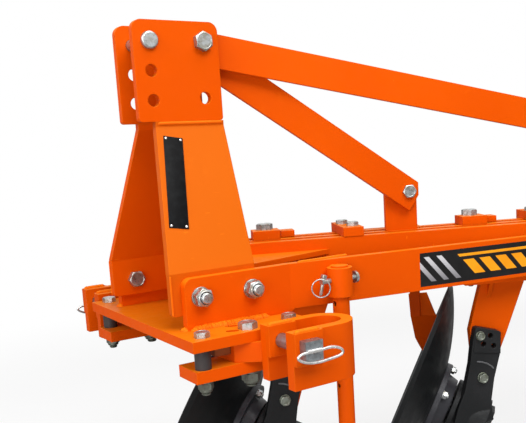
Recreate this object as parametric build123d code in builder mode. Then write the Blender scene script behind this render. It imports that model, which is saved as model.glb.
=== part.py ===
from build123d import *
import os
from math import atan2, cos, degrees, hypot, radians, sin, sqrt, tan

# Mounted three-furrow disc plough. Millimetres, X rearward, +Y to the right-hand side, +Z up.
# It is drawn as it parks: on its three discs, the furrow wheel and the lowered stand, ground at z = 0.

# ---------------------------------------------------------------- discs and their setting
DISC_COUNT = 3
DISC_R = 305.0            # 24 in disc
DISC_T = 6.0
DISC_DISH = 70.0          # rim plane to the flat centre, inside
DISC_FLAT_R = 105.0
DISC_BEVEL = 9.0
DISC_ANGLE = 47.5         # disc axle against the line of travel, in plan
DISC_TILT = 23.6          # disc leaning back
DISC_X = 244.7            # first disc centre
DISC_Y = 161.1
DISC_DROP = 302.0         # base plate top down to the disc centres
FURROW_PITCH = 509.5      # along the beam

PLATE_TOP = DISC_DROP + DISC_R * cos(radians(DISC_TILT))

# ---------------------------------------------------------------- base plate's front, middle, in the part's frame
HOME_X = -961.45
HOME_Y = 64.82

# ---------------------------------------------------------------- base plate
PLATE_LENGTH = 270.0      # at the left, where the stand is
PLATE_SHORT = 222.0       # behind the mast, clear of the first disc
PLATE_CUT = (-170.0, -100.0)
RIGHT_LENGTH = 262.0
PLATE_HALF = 283.0
PLATE_T = 22.0
PLATE_SLOTS = ((120.0, 211.0, 26.8), (100.5, 250.5, 26.6))     # behind the front edge, off the middle, turn
PLATE_SLOT_W = 16.0
PLATE_SLOT_RUN = 10.0

# ---------------------------------------------------------------- diagonal beam of three flats on edge
BEAM_ANGLE = 23.6
BEAM_X = 297.0            # origin of the beam measures, on the left flat's outer face
BEAM_Y = 8.0
BAR_T = 25.0
BAR_GAP = 25.0
BAR_HEIGHT = 130.0
BAR_FRONT = (-170.0, -150.0, -90.0)
BAR_REAR = 1380.0
BAR_PITCH = BAR_T + BAR_GAP
BEAM_WIDTH = 2 * BAR_PITCH + BAR_T

# ---------------------------------------------------------------- upright plates on the base plate
SIDE_FRONT = 34.0
SIDE_INNER = 170.0
SIDE_T = 20.0
SIDE_HEIGHT = 104.0
SIDE_CORNER = 18.0
LEFT_KINK_X = 278.0
LEFT_KINK = 11.0          # degrees the left plate turns towards the beam
LEFT_STEP = 6.0           # left plate's lower edge above the base plate's top, behind it
GUSSET_T = 12.0
GUSSET_TIP = 468.0        # along the travel line, where it runs out on the left bar
GUSSET_ROOT = 205.4
GUSSET_FRONT = 140.0
GUSSET_BEND = (192.0, 234.0, -119.0)     # leaves the mast; next corner

# ---------------------------------------------------------------- mast
MAST_T = 16.0
MAST_FOOT = 28.0          # lower edge above the base plate
MAST_BEND = 114.0
MAST_SHOULDER = 404.0
MAST_FRONT_LOW = 13.0
MAST_FRONT_HIGH = 60.0
MAST_REAR_LOW = 204.0
MAST_REAR_HIGH = 216.0
MAST_CORNER = 8.0

CLEVIS_INNER = 39.0
CLEVIS_T = 16.0
CLEVIS_FRONT = 26.0
CLEVIS_WIDTH = 190.0
CLEVIS_BOTTOM = 415.0
CLEVIS_HEIGHT = 204.0
CLEVIS_ROUND = 20.0
CLEVIS_ROUND_LOW = 7.0
TOP_PIN_D = 25.4
TOP_HOLE_D = 25.8
TOP_PIN_X = 60.5
TOP_PIN_Z = 578.0
TOP_HOLE_STEP = 60.0
TOP_PIN_HEAD_D = 36.0
TOP_PIN_HEAD = 9.0
TOP_PIN_TAIL = 18.0
REAR_HOLE_X = 178.0
REAR_HOLE_STEP = 116.0

# ---------------------------------------------------------------- stays
STAY_T = 14.0
UPPER_STAY_W = 71.3
UPPER_STAY_Y = -12.0
UPPER_STAY_SET = 22.0     # stay's middle off the post's middle
UPPER_STAY_DROP = 5.7     # stay's middle under the clevis bolt
LOWER_STAY_W = 71.0
LOWER_STAY_Y = 8.0
LOWER_STAY_SET = 19.0
LOWER_STAY_TAIL = 9.0     # square end beyond the post's bolt
POST_T = 16.0
POST_OFF = 62.0           # middle of the posts across the beam
FRONT_POST = (345.0, 426.0, 115.0, 83.0)     # start, end, height, bolt height over the beam
REAR_POST = (1240.0, 1320.0, 172.0, 146.0)
POST_BOLT_EDGE = 13.0

# ---------------------------------------------------------------- lower hitch
HITCH_BAR_X = (8.0, 255.0)
HITCH_BAR_Y = (192.0, 272.0)
HITCH_BAR_T = 24.0
HITCH_ARM_T = 40.0
HITCH_ARM_FRONT = 95.0
HITCH_ARM_OUTER = 262.0
HITCH_ARM_LEFT = (4.0, 118.0)      # front and rear corner on the strap, behind the strap's front
HITCH_ARM_RIGHT = (24.0, 92.0)
HITCH_SPACER_X = 31.0
HITCH_SPACER_Y = 255.0
HITCH_SPACER_D = 32.0
STRAP_CLEAR = 12.0        # base plate's end to the strap's inner leg
STRAP_INNER = PLATE_HALF + STRAP_CLEAR
STRAP_WELD = 1.0          # the arm's and the pin's ends into the inner leg
STRAP_T = 23.0
STRAP_GAP = 71.0
STRAP_LENGTH = 167.0
STRAP_HEIGHT = 110.0
STRAP_TOP = 14.0
STRAP_FRONT_LEFT = 138.0
STRAP_FRONT_RIGHT = 20.0
STRAP_PAD = (63.0, 62.0, 8.0)
STRAP_PAD_X = 32.0
STRAP_PIN_X = 29.0        # pin behind the strap's front end
STRAP_PIN_Z = -18.0
LOWER_PIN_D = 28.0
LOWER_HOLE_D = 28.5
LOWER_PIN_BLOCK = (38.0, 20.0, 38.0)

# ---------------------------------------------------------------- parking stand
STAND_ALONG = 105.0       # from the left plate's kink
STAND_R = 18.5
STAND_WALL = 4.5
SLEEVE_R = 27.5
SLEEVE_FIT = 0.1
SLEEVE_LOW = 26.0
SLEEVE_TOP = 89.0
SLEEVE_SET = 26.0         # sleeve axis off the plate's face
STAND_ABOVE = 4.0
STAND_PIN_D = 12.0
STAND_PIN_Z = 62.0
STAND_HOLE_STEP = 92.0
STAND_HOLE_FIRST = 11.0
STAND_HOLES = 4
STAND_PIN_GRIP = 4.0      # the pin's ends stop in the sleeve's wall
STAND_PIN_STUBS = ((-1, 22.0, 0.0), (1, 10.0, 13.0))     # side, length outside the sleeve, head radius
STAND_PIN_HEAD = 6.0

# ---------------------------------------------------------------- standards and hub brackets
HEAD_T = 16.0
HEAD_SPAN = (-42.5, 128.0)
HEAD_WIDTH = 100.0
HEAD_CUT = (26.0, 60.0)   # front corner beside the disc
STANDARD_OFF = 20.0       # near face of the standard across the beam
STANDARD_T = 20.0
STANDARD_ALONG = 62.5     # first standard along the beam
RIB_T = 10.0
RIB_REACH = 20.0
RIB_DROP = 38.0
RIB_ALONG = 22.0
CHEEK_T = 22.0
CHEEK_HOLE_D = 14.0
CHEEK_HOLES = ((19.0, -149.0), (0.0, -169.0), (27.0, -176.0))     # along the beam, under its lower face
CHEEK_EDGE = (
    (-20.0, -123.0),
    (47.0, -140.0),
    (45.0, -198.0),
    (28.0, -262.0),
    (18.0, -327.0),
    (24.0, -372.0),
    (-12.0, -400.0),
    (-82.0, -370.0),
    (-72.0, -335.0),
    (-52.0, -290.0),
    (-44.0, -255.0),
    (-36.0, -220.0),
    (-31.0, -182.0),
)
CHEEK_PAD_T = 3.0         # raised pad round the adjusting holes
CHEEK_PAD_LOW = -189.0
CHEEK_PAD_SET = 5.0       # pad's front and rear sides in from the cheek's
CHEEK_CORNER = 8.0
STANDARD_EDGE = (
    (6.0, -HEAD_T),
    (125.0, -HEAD_T),
    (72.0, -153.0),
    (56.0, -191.0),
    (46.0, -230.0),
    (28.0, -288.0),
    (-14.0, -264.0),
    (-20.0, -220.0),
    (-27.0, -137.0),
    (-13.0, -84.0),
)
HOUSING_R = 60.0
HOUSING_START = 124.0
HOUSING_FACE_T = 12.0
HOUSING_FACE_R = 78.0
HOUSING_END = 220.0
CAP_FLATS = 84.0          # hexagonal cap behind the housing
CAP_T = 14.0
SPINDLE_R = 22.5
SPINDLE_FIT = 0.05
SPINDLE_END = 170.0
BORE_END = 176.0
FLANGE_T = 14.0
DRUM_R = 80.0
DRUM_SMALL_R = 72.0
DRUM_END = 118.0

# ---------------------------------------------------------------- clamps and scrapers
CLAMP_ALONG = (12.5, 545.0, 1050.0)
CLAMP_NEAR = (0.0, 66.0, 50.0, 108.0, 22.0)     # from, to along the beam; from, to across; height
CLAMP_FAR = (72.0, 106.0, 85.0, 125.0, 16.0)
SCRAPER_CLAMP = (224.0, 274.0, -2.0, 145.0, 22.0)
SCRAPER_ARM_T = 18.0
SCRAPER_ARM_H = 50.0
SCRAPER_ARM_GAP = 2.0     # between the right bar and the arm beside it
FIRST_ARM = (208.0, 306.0, 160.0, 205.0, 12.0)     # on the right plate: from, to; across; height
STEM_OUT = (12.0, 38.0)   # stem: out from the disc centre, away from its hub
STEM_ACROSS = (50.0, 63.0)
STEM_LOW = 183.0
BLADE_T = 7.0
BLADE_FOLD = ((80.0, 245.0), (60.0, 185.0), (110.0, 36.0))     # across, up
BLADE_EDGE = (
    (5.0, 240.0),
    (54.0, 243.0),
    (77.0, 189.0),
    (96.0, 160.0),
    (90.0, 100.0),
    (72.0, 40.0),
    (50.0, 45.0),
    (28.0, 93.0),
    (18.5, 116.0),
    (12.0, 172.0),
)

# ---------------------------------------------------------------- rear furrow wheel
WHEEL_R = 230.0
WHEEL_RIM_R = 208.0
WHEEL_HALF = 34.0
WHEEL_FLANGE_HALF = 8.0
WHEEL_WEB_HALF = 6.0
WHEEL_HUB_R = 46.0
WHEEL_HUB_HALF = 46.0
WHEEL_RIM_T = 10.0
WHEEL_BORE_FIT = 0.05
WHEEL_TILT = 20.0
WHEEL_ALONG = 1496.0      # leg's place along the beam
WHEEL_OUT = 152.0         # leg to wheel centre along the stub axle
AXLE_R = 20.0
AXLE_COLLAR = (8.0, 12.0, 12.0)     # gap to the wheel's hub, length, height over the axle
AXLE_SHORT = 4.0          # axle's end inside the hub
LEG_R = 22.5
LEG_TOP = 345.0
LEG_FIT = 0.1
LEG_SLEEVE_R = 36.0
LEG_SLEEVE = (-30.0, 160.0)
LEG_COLLAR_R = 34.0
LEG_COLLAR_T = 18.0
END_PLATE_T = 16.0
WEB_T = 25.0

# ---------------------------------------------------------------- shared places
home = Plane(origin=(HOME_X, HOME_Y, PLATE_TOP))
beam_dir = (cos(radians(BEAM_ANGLE)), -sin(radians(BEAM_ANGLE)), 0)
beam = Plane(origin=home.from_local_coords((BEAM_X, BEAM_Y, 0)), x_dir=beam_dir, z_dir=(0, 0, 1))


def side_view(y):
    """Upright plane along the travel line at the given y, drawn with x rearward and y up."""
    return Plane(origin=home.from_local_coords((0, y, 0)), x_dir=(1, 0, 0), z_dir=(0, -1, 0))


def beam_view(off, along=0.0):
    """Upright plane along the beam, off its left face, facing left."""
    return Plane(origin=beam.from_local_coords((along, off, 0)), x_dir=beam.x_dir, z_dir=-beam.y_dir)


os.makedirs("parts", exist_ok=True)

# ================================================================ base plate and uprights
with BuildPart() as base_plate:
    with BuildSketch(home.offset(-PLATE_T)):
        with BuildLine():
            Polyline(
                (0, -PLATE_HALF),
                (PLATE_LENGTH, -PLATE_HALF),
                (PLATE_LENGTH, PLATE_CUT[0]),
                (PLATE_SHORT, PLATE_CUT[1]),
                (PLATE_SHORT, PLATE_HALF),
                (0, PLATE_HALF),
                close=True,
            )
        make_face()
        for slot_x, slot_y, turn in PLATE_SLOTS:
            for hand in (-1, 1):
                with Locations(Location((slot_x, hand * slot_y, 0), (0, 0, hand * turn))):
                    SlotCenterToCenter(PLATE_SLOT_RUN, PLATE_SLOT_W, mode=Mode.SUBTRACT)
    extrude(amount=PLATE_T)
base_plate.part.label = "base_plate"
export_step(base_plate.part, "parts/base_plate.step")

kink = radians(LEFT_KINK)
kink_y = -(SIDE_INNER + SIDE_T)
kink_inner_x = LEFT_KINK_X + SIDE_T * tan(kink / 2)
bar_slope = tan(radians(BEAM_ANGLE))


def meet_beam(x, y):
    """Point where the left plate's edge through (x, y) runs into the beam's left face."""
    run = (BEAM_Y + bar_slope * BEAM_X - y - tan(kink) * x) / (bar_slope - tan(kink))
    return run, BEAM_Y - bar_slope * (run - BEAM_X)


with BuildPart() as beam_plate_left:
    with BuildSketch(home):
        with BuildLine():
            Polyline(
                (SIDE_FRONT, kink_y),
                (LEFT_KINK_X, kink_y),
                meet_beam(LEFT_KINK_X, kink_y),
                meet_beam(kink_inner_x, -SIDE_INNER),
                (kink_inner_x, -SIDE_INNER),
                (SIDE_FRONT, -SIDE_INNER),
                close=True,
            )
        make_face()
    extrude(amount=SIDE_HEIGHT)
    front_top = beam_plate_left.edges().filter_by(Axis.Y).sort_by(Axis.Z)[-1]
    fillet(front_top, radius=SIDE_CORNER)
    with BuildSketch(side_view(kink_y - 2 * SIDE_T)):
        with BuildLine():
            Polyline(
                (LEFT_KINK_X, 0),
                (LEFT_KINK_X + LEFT_STEP, LEFT_STEP),
                (2 * BEAM_X + BAR_REAR, LEFT_STEP),
                (2 * BEAM_X + BAR_REAR, 0),
                close=True,
            )
        make_face()
    extrude(amount=-PLATE_HALF, mode=Mode.SUBTRACT, both=True)
beam_plate_left.part.label = "beam_plate_left"
export_step(beam_plate_left.part, "parts/beam_plate_left.step")

with BuildPart() as beam_plate_right:
    with BuildSketch(side_view(SIDE_INNER + SIDE_T)):
        with BuildLine():
            Polyline(
                (SIDE_FRONT, 0),
                (RIGHT_LENGTH, 0),
                (RIGHT_LENGTH, SIDE_HEIGHT),
                (SIDE_FRONT, SIDE_HEIGHT),
                close=True,
            )
        make_face()
        fillet(vertices().group_by(Axis.Y)[-1], radius=SIDE_CORNER)
    extrude(amount=SIDE_T)
beam_plate_right.part.label = "beam_plate_right"
export_step(beam_plate_right.part, "parts/beam_plate_right.step")

# ================================================================ beam
bar_names = ("beam_bar_left", "beam_bar_middle", "beam_bar_right")
for index, (name, front) in enumerate(zip(bar_names, BAR_FRONT)):
    with BuildPart() as bar:
        with BuildSketch(beam):
            with Locations(((front + BAR_REAR) / 2, index * BAR_PITCH + BAR_T / 2)):
                Rectangle(BAR_REAR - front, BAR_T)
        extrude(amount=BAR_HEIGHT)
    bar.part.label = name
    export_step(bar.part, f"parts/{name}.step")

gusset_tip = (GUSSET_TIP, BEAM_Y - bar_slope * (GUSSET_TIP - BEAM_X))
gusset_root = (GUSSET_ROOT, BEAM_Y - bar_slope * (GUSSET_ROOT - BEAM_X))
with BuildPart() as beam_gusset:
    with BuildSketch(home.offset(SIDE_HEIGHT - GUSSET_T)):
        with BuildLine():
            Polyline(
                gusset_tip,
                gusset_root,
                (GUSSET_FRONT, gusset_root[1]),
                (GUSSET_FRONT, MAST_T - SIDE_INNER),
                (GUSSET_BEND[0], MAST_T - SIDE_INNER),
                (GUSSET_BEND[1], GUSSET_BEND[2]),
                close=True,
            )
        make_face()
    extrude(amount=GUSSET_T)
beam_gusset.part.label = "beam_gusset"
export_step(beam_gusset.part, "parts/beam_gusset.step")

# ================================================================ mast
clevis_outer = CLEVIS_INNER + CLEVIS_T
mast_slant = atan2(SIDE_INNER - clevis_outer, MAST_SHOULDER - MAST_BEND)
mast_shift = MAST_T * tan(mast_slant / 2)
for name, hand in (("left", -1), ("right", 1)):
    with BuildPart() as mast_side:
        with BuildSketch(Plane(origin=home.origin, x_dir=(0, 1, 0), z_dir=(1, 0, 0))):
            with BuildLine():
                Polyline(
                    (hand * SIDE_INNER, MAST_FOOT),
                    (hand * SIDE_INNER, MAST_BEND),
                    (hand * clevis_outer, MAST_SHOULDER),
                    (hand * clevis_outer, CLEVIS_BOTTOM),
                    (hand * (clevis_outer - MAST_T), CLEVIS_BOTTOM),
                    (hand * (clevis_outer - MAST_T), MAST_SHOULDER - mast_shift),
                    (hand * (SIDE_INNER - MAST_T), MAST_BEND - mast_shift),
                    (hand * (SIDE_INNER - MAST_T), MAST_FOOT),
                    close=True,
                )
            make_face()
        extrude(amount=PLATE_LENGTH)
        with BuildSketch(side_view(0)):
            with BuildLine():
                Polyline(
                    (MAST_FRONT_LOW, MAST_FOOT),
                    (MAST_REAR_LOW, MAST_FOOT),
                    (MAST_REAR_LOW, MAST_BEND),
                    (MAST_REAR_HIGH, MAST_SHOULDER),
                    (MAST_REAR_HIGH, CLEVIS_BOTTOM),
                    (MAST_FRONT_HIGH, CLEVIS_BOTTOM),
                    (MAST_FRONT_HIGH, MAST_SHOULDER),
                    (MAST_FRONT_LOW, MAST_BEND),
                    close=True,
                )
            make_face()
            fillet(vertices().group_by(Axis.Y)[0], radius=MAST_CORNER)
        extrude(amount=PLATE_HALF, both=True, mode=Mode.INTERSECT)
    mast_side.part.label = f"mast_side_{name}"
    export_step(mast_side.part, f"parts/mast_side_{name}.step")

    with BuildPart() as clevis_plate:
        with BuildSketch(side_view(hand * (CLEVIS_INNER + CLEVIS_T / 2))):
            with Locations((CLEVIS_FRONT + CLEVIS_WIDTH / 2, CLEVIS_BOTTOM + CLEVIS_HEIGHT / 2)):
                Rectangle(CLEVIS_WIDTH, CLEVIS_HEIGHT)
            fillet(vertices().group_by(Axis.Y)[-1], radius=CLEVIS_ROUND)
            fillet(vertices().group_by(Axis.Y)[0], radius=CLEVIS_ROUND_LOW)
            with Locations(*[(TOP_PIN_X, TOP_PIN_Z - step * TOP_HOLE_STEP) for step in range(3)]):
                Circle(TOP_HOLE_D / 2, mode=Mode.SUBTRACT)
            with Locations((REAR_HOLE_X, TOP_PIN_Z - REAR_HOLE_STEP)):
                Circle(TOP_HOLE_D / 2, mode=Mode.SUBTRACT)
        extrude(amount=CLEVIS_T / 2, both=True)
    clevis_plate.part.label = f"clevis_plate_{name}"
    export_step(clevis_plate.part, f"parts/clevis_plate_{name}.step")

with BuildPart() as top_link_pin:
    with BuildSketch(side_view(-clevis_outer)):
        with Locations((TOP_PIN_X, TOP_PIN_Z)):
            Circle(TOP_PIN_D / 2)
    extrude(amount=-(2 * clevis_outer + TOP_PIN_TAIL))
    with BuildSketch(side_view(-clevis_outer)):
        with Locations((TOP_PIN_X, TOP_PIN_Z)):
            Circle(TOP_PIN_HEAD_D / 2)
    extrude(amount=TOP_PIN_HEAD)
    head_edge = top_link_pin.edges().filter_by(GeomType.CIRCLE).sort_by(Axis.Y)[0]
    fillet(head_edge, radius=TOP_PIN_HEAD / 2)
top_link_pin.part.label = "top_link_pin"
export_step(top_link_pin.part, "parts/top_link_pin.step")

# ================================================================ posts and stays
with BuildPart() as stay_posts:
    for start, end, height, bolt in (FRONT_POST, REAR_POST):
        with BuildSketch(beam_view(POST_OFF)):
            with BuildLine():
                Polyline(
                    (start, BAR_HEIGHT),
                    (end, BAR_HEIGHT),
                    (end, BAR_HEIGHT + height),
                    (start, BAR_HEIGHT + height),
                    close=True,
                )
            make_face()
        extrude(amount=POST_T / 2, both=True)
stay_posts.part.label = "stay_posts"
export_step(stay_posts.part, "parts/stay_posts.step")


def stay_plane(y, drop, post, off):
    """Upright plane from the mast at y to the post's bolt, and the bolt's place on it."""
    start, end, height, bolt = post
    mast_end = home.from_local_coords((REAR_HOLE_X, y, TOP_PIN_Z - drop))
    way = beam.from_local_coords((end - POST_BOLT_EDGE, off, BAR_HEIGHT + bolt)) - mast_end
    run = hypot(way.X, way.Y)
    plane = Plane(origin=mast_end, x_dir=(way.X, way.Y, 0), z_dir=(way.Y, -way.X, 0))
    return plane, run, way.Z


rear_off = POST_OFF + UPPER_STAY_SET
upper_plane, upper_run, upper_fall = stay_plane(UPPER_STAY_Y, UPPER_STAY_DROP, REAR_POST, rear_off)
with BuildPart() as stay_upper:
    with BuildSketch(upper_plane):
        with Locations(Location((upper_run / 2, upper_fall / 2), degrees(atan2(upper_fall, upper_run)))):
            SlotCenterToCenter(hypot(upper_run, upper_fall), UPPER_STAY_W)
    extrude(amount=STAY_T / 2, both=True)
stay_upper.part.label = "stay_upper"
export_step(stay_upper.part, "parts/stay_upper.step")

lower_plane, lower_run, lower_fall = stay_plane(LOWER_STAY_Y, 0, FRONT_POST, POST_OFF - LOWER_STAY_SET)
lower_length = hypot(lower_run, lower_fall) + LOWER_STAY_TAIL
lower_angle = atan2(lower_fall, lower_run)
lower_middle = (lower_length / 2 * cos(lower_angle), lower_length / 2 * sin(lower_angle))
with BuildPart() as stay_lower:
    with BuildSketch(lower_plane):
        with Locations(Location(lower_middle, degrees(lower_angle))):
            Rectangle(lower_length, LOWER_STAY_W)
        with Locations((lower_run + POST_BOLT_EDGE - lower_length / 2, lower_middle[1])):
            Rectangle(lower_length, lower_length, mode=Mode.INTERSECT)
        Circle(LOWER_STAY_W / 2)
    extrude(amount=STAY_T / 2, both=True)
stay_lower.part.label = "stay_lower"
export_step(stay_lower.part, "parts/stay_lower.step")

# ================================================================ lower hitch
hitch_top = -PLATE_T
bar_top = hitch_top - HITCH_ARM_T
with BuildPart() as hitch_spacers:
    with BuildSketch(home.offset(bar_top)):
        with Locations((HITCH_SPACER_X, -HITCH_SPACER_Y), (HITCH_SPACER_X, HITCH_SPACER_Y)):
            Circle(HITCH_SPACER_D / 2)
    extrude(amount=HITCH_ARM_T)
hitch_spacers.part.label = "hitch_spacers"
export_step(hitch_spacers.part, "parts/hitch_spacers.step")

bar_span = HITCH_BAR_X[1] - HITCH_BAR_X[0]
bar_wide = HITCH_BAR_Y[1] - HITCH_BAR_Y[0]
strap_wide = STRAP_GAP + 2 * STRAP_T
strap_middle = STRAP_INNER + strap_wide / 2
hitch_table = (
    ("left", -1, STRAP_FRONT_LEFT, HITCH_ARM_LEFT),
    ("right", 1, STRAP_FRONT_RIGHT, HITCH_ARM_RIGHT),
)
for name, hand, strap_front, arm_corners in hitch_table:
    with BuildPart() as hitch_bar:
        with BuildSketch(home.offset(bar_top - HITCH_BAR_T)):
            with Locations((HITCH_BAR_X[0] + bar_span / 2, hand * (HITCH_BAR_Y[0] + bar_wide / 2))):
                Rectangle(bar_span, bar_wide)
        extrude(amount=HITCH_BAR_T)
    hitch_bar.part.label = f"hitch_bar_{name}"
    export_step(hitch_bar.part, f"parts/hitch_bar_{name}.step")

    pin_x = strap_front + STRAP_PIN_X
    round_x = strap_front + STRAP_LENGTH - strap_wide / 2
    pad_long, pad_high, pad_thick = STRAP_PAD
    with BuildPart(home) as hitch_strap:
        with BuildSketch(home.offset(bar_top)):
            with BuildLine():
                Polyline(
                    (HITCH_ARM_FRONT, hand * HITCH_BAR_Y[0]),
                    (HITCH_ARM_FRONT, hand * HITCH_ARM_OUTER),
                    (strap_front + arm_corners[0], hand * (STRAP_INNER + STRAP_WELD)),
                    (strap_front + arm_corners[1], hand * (STRAP_INNER + STRAP_WELD)),
                    (HITCH_BAR_X[1], hand * HITCH_ARM_OUTER),
                    (HITCH_BAR_X[1], hand * HITCH_BAR_Y[0]),
                    close=True,
                )
            make_face()
        extrude(amount=HITCH_ARM_T)
        with BuildSketch(home.offset(STRAP_TOP - STRAP_HEIGHT)):
            with Locations(((strap_front + round_x) / 2, hand * strap_middle)):
                Rectangle(round_x - strap_front, strap_wide)
            with Locations((round_x, hand * strap_middle)):
                Circle(strap_wide / 2)
            with Locations(((strap_front + round_x) / 2, hand * strap_middle)):
                Rectangle(round_x - strap_front, STRAP_GAP, mode=Mode.SUBTRACT)
            with Locations((round_x, hand * strap_middle)):
                Circle(STRAP_GAP / 2, mode=Mode.SUBTRACT)
        extrude(amount=STRAP_HEIGHT)
        pad_z = STRAP_TOP - pad_high / 2
        inner_pad_y = STRAP_INNER + STRAP_T + pad_thick / 2
        outer_pad_y = STRAP_INNER + strap_wide + pad_thick / 2
        pad_x = strap_front + STRAP_PAD_X
        with Locations((pad_x, hand * inner_pad_y, pad_z), (pad_x, hand * outer_pad_y, pad_z)):
            Box(pad_long, pad_thick, pad_high)
        with Locations(Location((pin_x, hand * strap_middle, STRAP_PIN_Z), (90, 0, 0))):
            Cylinder(LOWER_HOLE_D / 2, strap_wide + 2 * pad_thick, mode=Mode.SUBTRACT)
    hitch_strap.part.label = f"hitch_strap_{name}"
    export_step(hitch_strap.part, f"parts/hitch_strap_{name}.step")

    block_x, block_y, block_z = LOWER_PIN_BLOCK
    pin_from = STRAP_INNER + STRAP_WELD
    pin_to = STRAP_INNER + strap_wide + pad_thick
    with BuildPart(home) as hitch_pin:
        with Locations(Location((pin_x, hand * (pin_from + pin_to) / 2, STRAP_PIN_Z), (90, 0, 0))):
            Cylinder(LOWER_PIN_D / 2, pin_to - pin_from)
        with Locations((pin_x, hand * (pin_to + block_y / 2), STRAP_PIN_Z)):
            Box(block_x, block_y, block_z)
    hitch_pin.part.label = f"hitch_pin_{name}"
    export_step(hitch_pin.part, f"parts/hitch_pin_{name}.step")

# ================================================================ parking stand
kink_at = home.from_local_coords((LEFT_KINK_X, kink_y, 0))
left_rear = Plane(origin=kink_at, x_dir=(cos(kink), -sin(kink), 0), z_dir=(0, 0, 1))
stand = Plane(origin=left_rear.from_local_coords((STAND_ALONG, -SLEEVE_SET, 0)), z_dir=(0, 0, 1))
with BuildPart(stand) as stand_sleeve:
    with BuildSketch(stand.offset(SLEEVE_LOW)):
        Circle(SLEEVE_R)
        Circle(STAND_R + SLEEVE_FIT, mode=Mode.SUBTRACT)
    extrude(amount=SLEEVE_TOP - SLEEVE_LOW)
    with BuildSketch(left_rear):
        with Locations((STAND_ALONG, SLEEVE_R)):
            Rectangle(4 * SLEEVE_R, 2 * SLEEVE_R)
    extrude(amount=SIDE_HEIGHT, mode=Mode.SUBTRACT)
    with Locations(Location((0, 0, STAND_PIN_Z), (0, 90, 0))):
        Cylinder(STAND_PIN_D / 2 + SLEEVE_FIT, 3 * SLEEVE_R, mode=Mode.SUBTRACT)
stand_sleeve.part.label = "stand_sleeve"
export_step(stand_sleeve.part, "parts/stand_sleeve.step")

hole_heights = [STAND_PIN_Z] + [STAND_HOLE_FIRST - step * STAND_HOLE_STEP for step in range(STAND_HOLES)]
with BuildPart(stand) as stand_tube:
    with BuildSketch(stand.offset(-PLATE_TOP)):
        Circle(STAND_R)
        Circle(STAND_R - STAND_WALL, mode=Mode.SUBTRACT)
    extrude(amount=PLATE_TOP + SLEEVE_TOP + STAND_ABOVE)
    with BuildSketch(stand.offset(SLEEVE_TOP)):
        Circle(STAND_R)
    extrude(amount=STAND_ABOVE)
    for height in hole_heights:
        with Locations(Location((0, 0, height), (0, 90, 0))):
            Cylinder(STAND_PIN_D / 2 + SLEEVE_FIT, 3 * SLEEVE_R, mode=Mode.SUBTRACT)
stand_tube.part.label = "stand_tube"
export_step(stand_tube.part, "parts/stand_tube.step")

with BuildPart(stand) as stand_pin:
    for side, stub, head_radius in STAND_PIN_STUBS:
        inner = SLEEVE_R - STAND_PIN_GRIP
        middle = side * (inner + (stub + STAND_PIN_GRIP) / 2)
        with Locations(Location((middle, 0, STAND_PIN_Z), (0, 90, 0))):
            Cylinder(STAND_PIN_D / 2, stub + STAND_PIN_GRIP)
        if head_radius:
            head_x = side * (SLEEVE_R + stub + STAND_PIN_HEAD / 2)
            with Locations(Location((head_x, 0, STAND_PIN_Z), (0, 90, 0))):
                Cylinder(head_radius, STAND_PIN_HEAD)
stand_pin.part.label = "stand_pin"
export_step(stand_pin.part, "parts/stand_pin.step")

# ================================================================ clamps on the beam
with BuildPart() as beam_clamps:
    for along in CLAMP_ALONG:
        for start, end, off_from, off_to, height in (CLAMP_NEAR, CLAMP_FAR):
            with BuildSketch(beam.offset(BAR_HEIGHT)):
                with Locations((along + (start + end) / 2, (off_from + off_to) / 2)):
                    Rectangle(end - start, off_to - off_from)
            extrude(amount=height)
beam_clamps.part.label = "beam_clamps"
export_step(beam_clamps.part, "parts/beam_clamps.step")

with BuildPart() as scraper_clamps:
    start, end, off_from, off_to, height = SCRAPER_CLAMP
    for index in range(DISC_COUNT - 1):
        with BuildSketch(beam.offset(BAR_HEIGHT)):
            with Locations(((start + end) / 2 + index * FURROW_PITCH, (off_from + off_to) / 2)):
                Rectangle(end - start, off_to - off_from)
        extrude(amount=height)
scraper_clamps.part.label = "scraper_clamps"
export_step(scraper_clamps.part, "parts/scraper_clamps.step")

# ================================================================ one ground tool per furrow
angle = radians(DISC_ANGLE)
tilt = radians(DISC_TILT)
axle_dir = (cos(tilt) * cos(angle), -cos(tilt) * sin(angle), -sin(tilt))
across_dir = (-sin(angle), -cos(angle), 0)
dish_offset = (DISC_R**2 - DISC_FLAT_R**2 - DISC_DISH**2) / (2 * DISC_DISH)
dish_radius = hypot(dish_offset, DISC_R)
back_radius = dish_radius + DISC_T
back_flat = sqrt(back_radius**2 - DISC_FLAT_R**2) - dish_offset
bevel_r = DISC_R - DISC_BEVEL
bevel_depth = sqrt(back_radius**2 - bevel_r**2) - dish_offset
middle_r = (DISC_R + DISC_FLAT_R) / 2
front_middle = sqrt(dish_radius**2 - middle_r**2) - dish_offset
back_middle = sqrt(back_radius**2 - middle_r**2) - dish_offset

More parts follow.
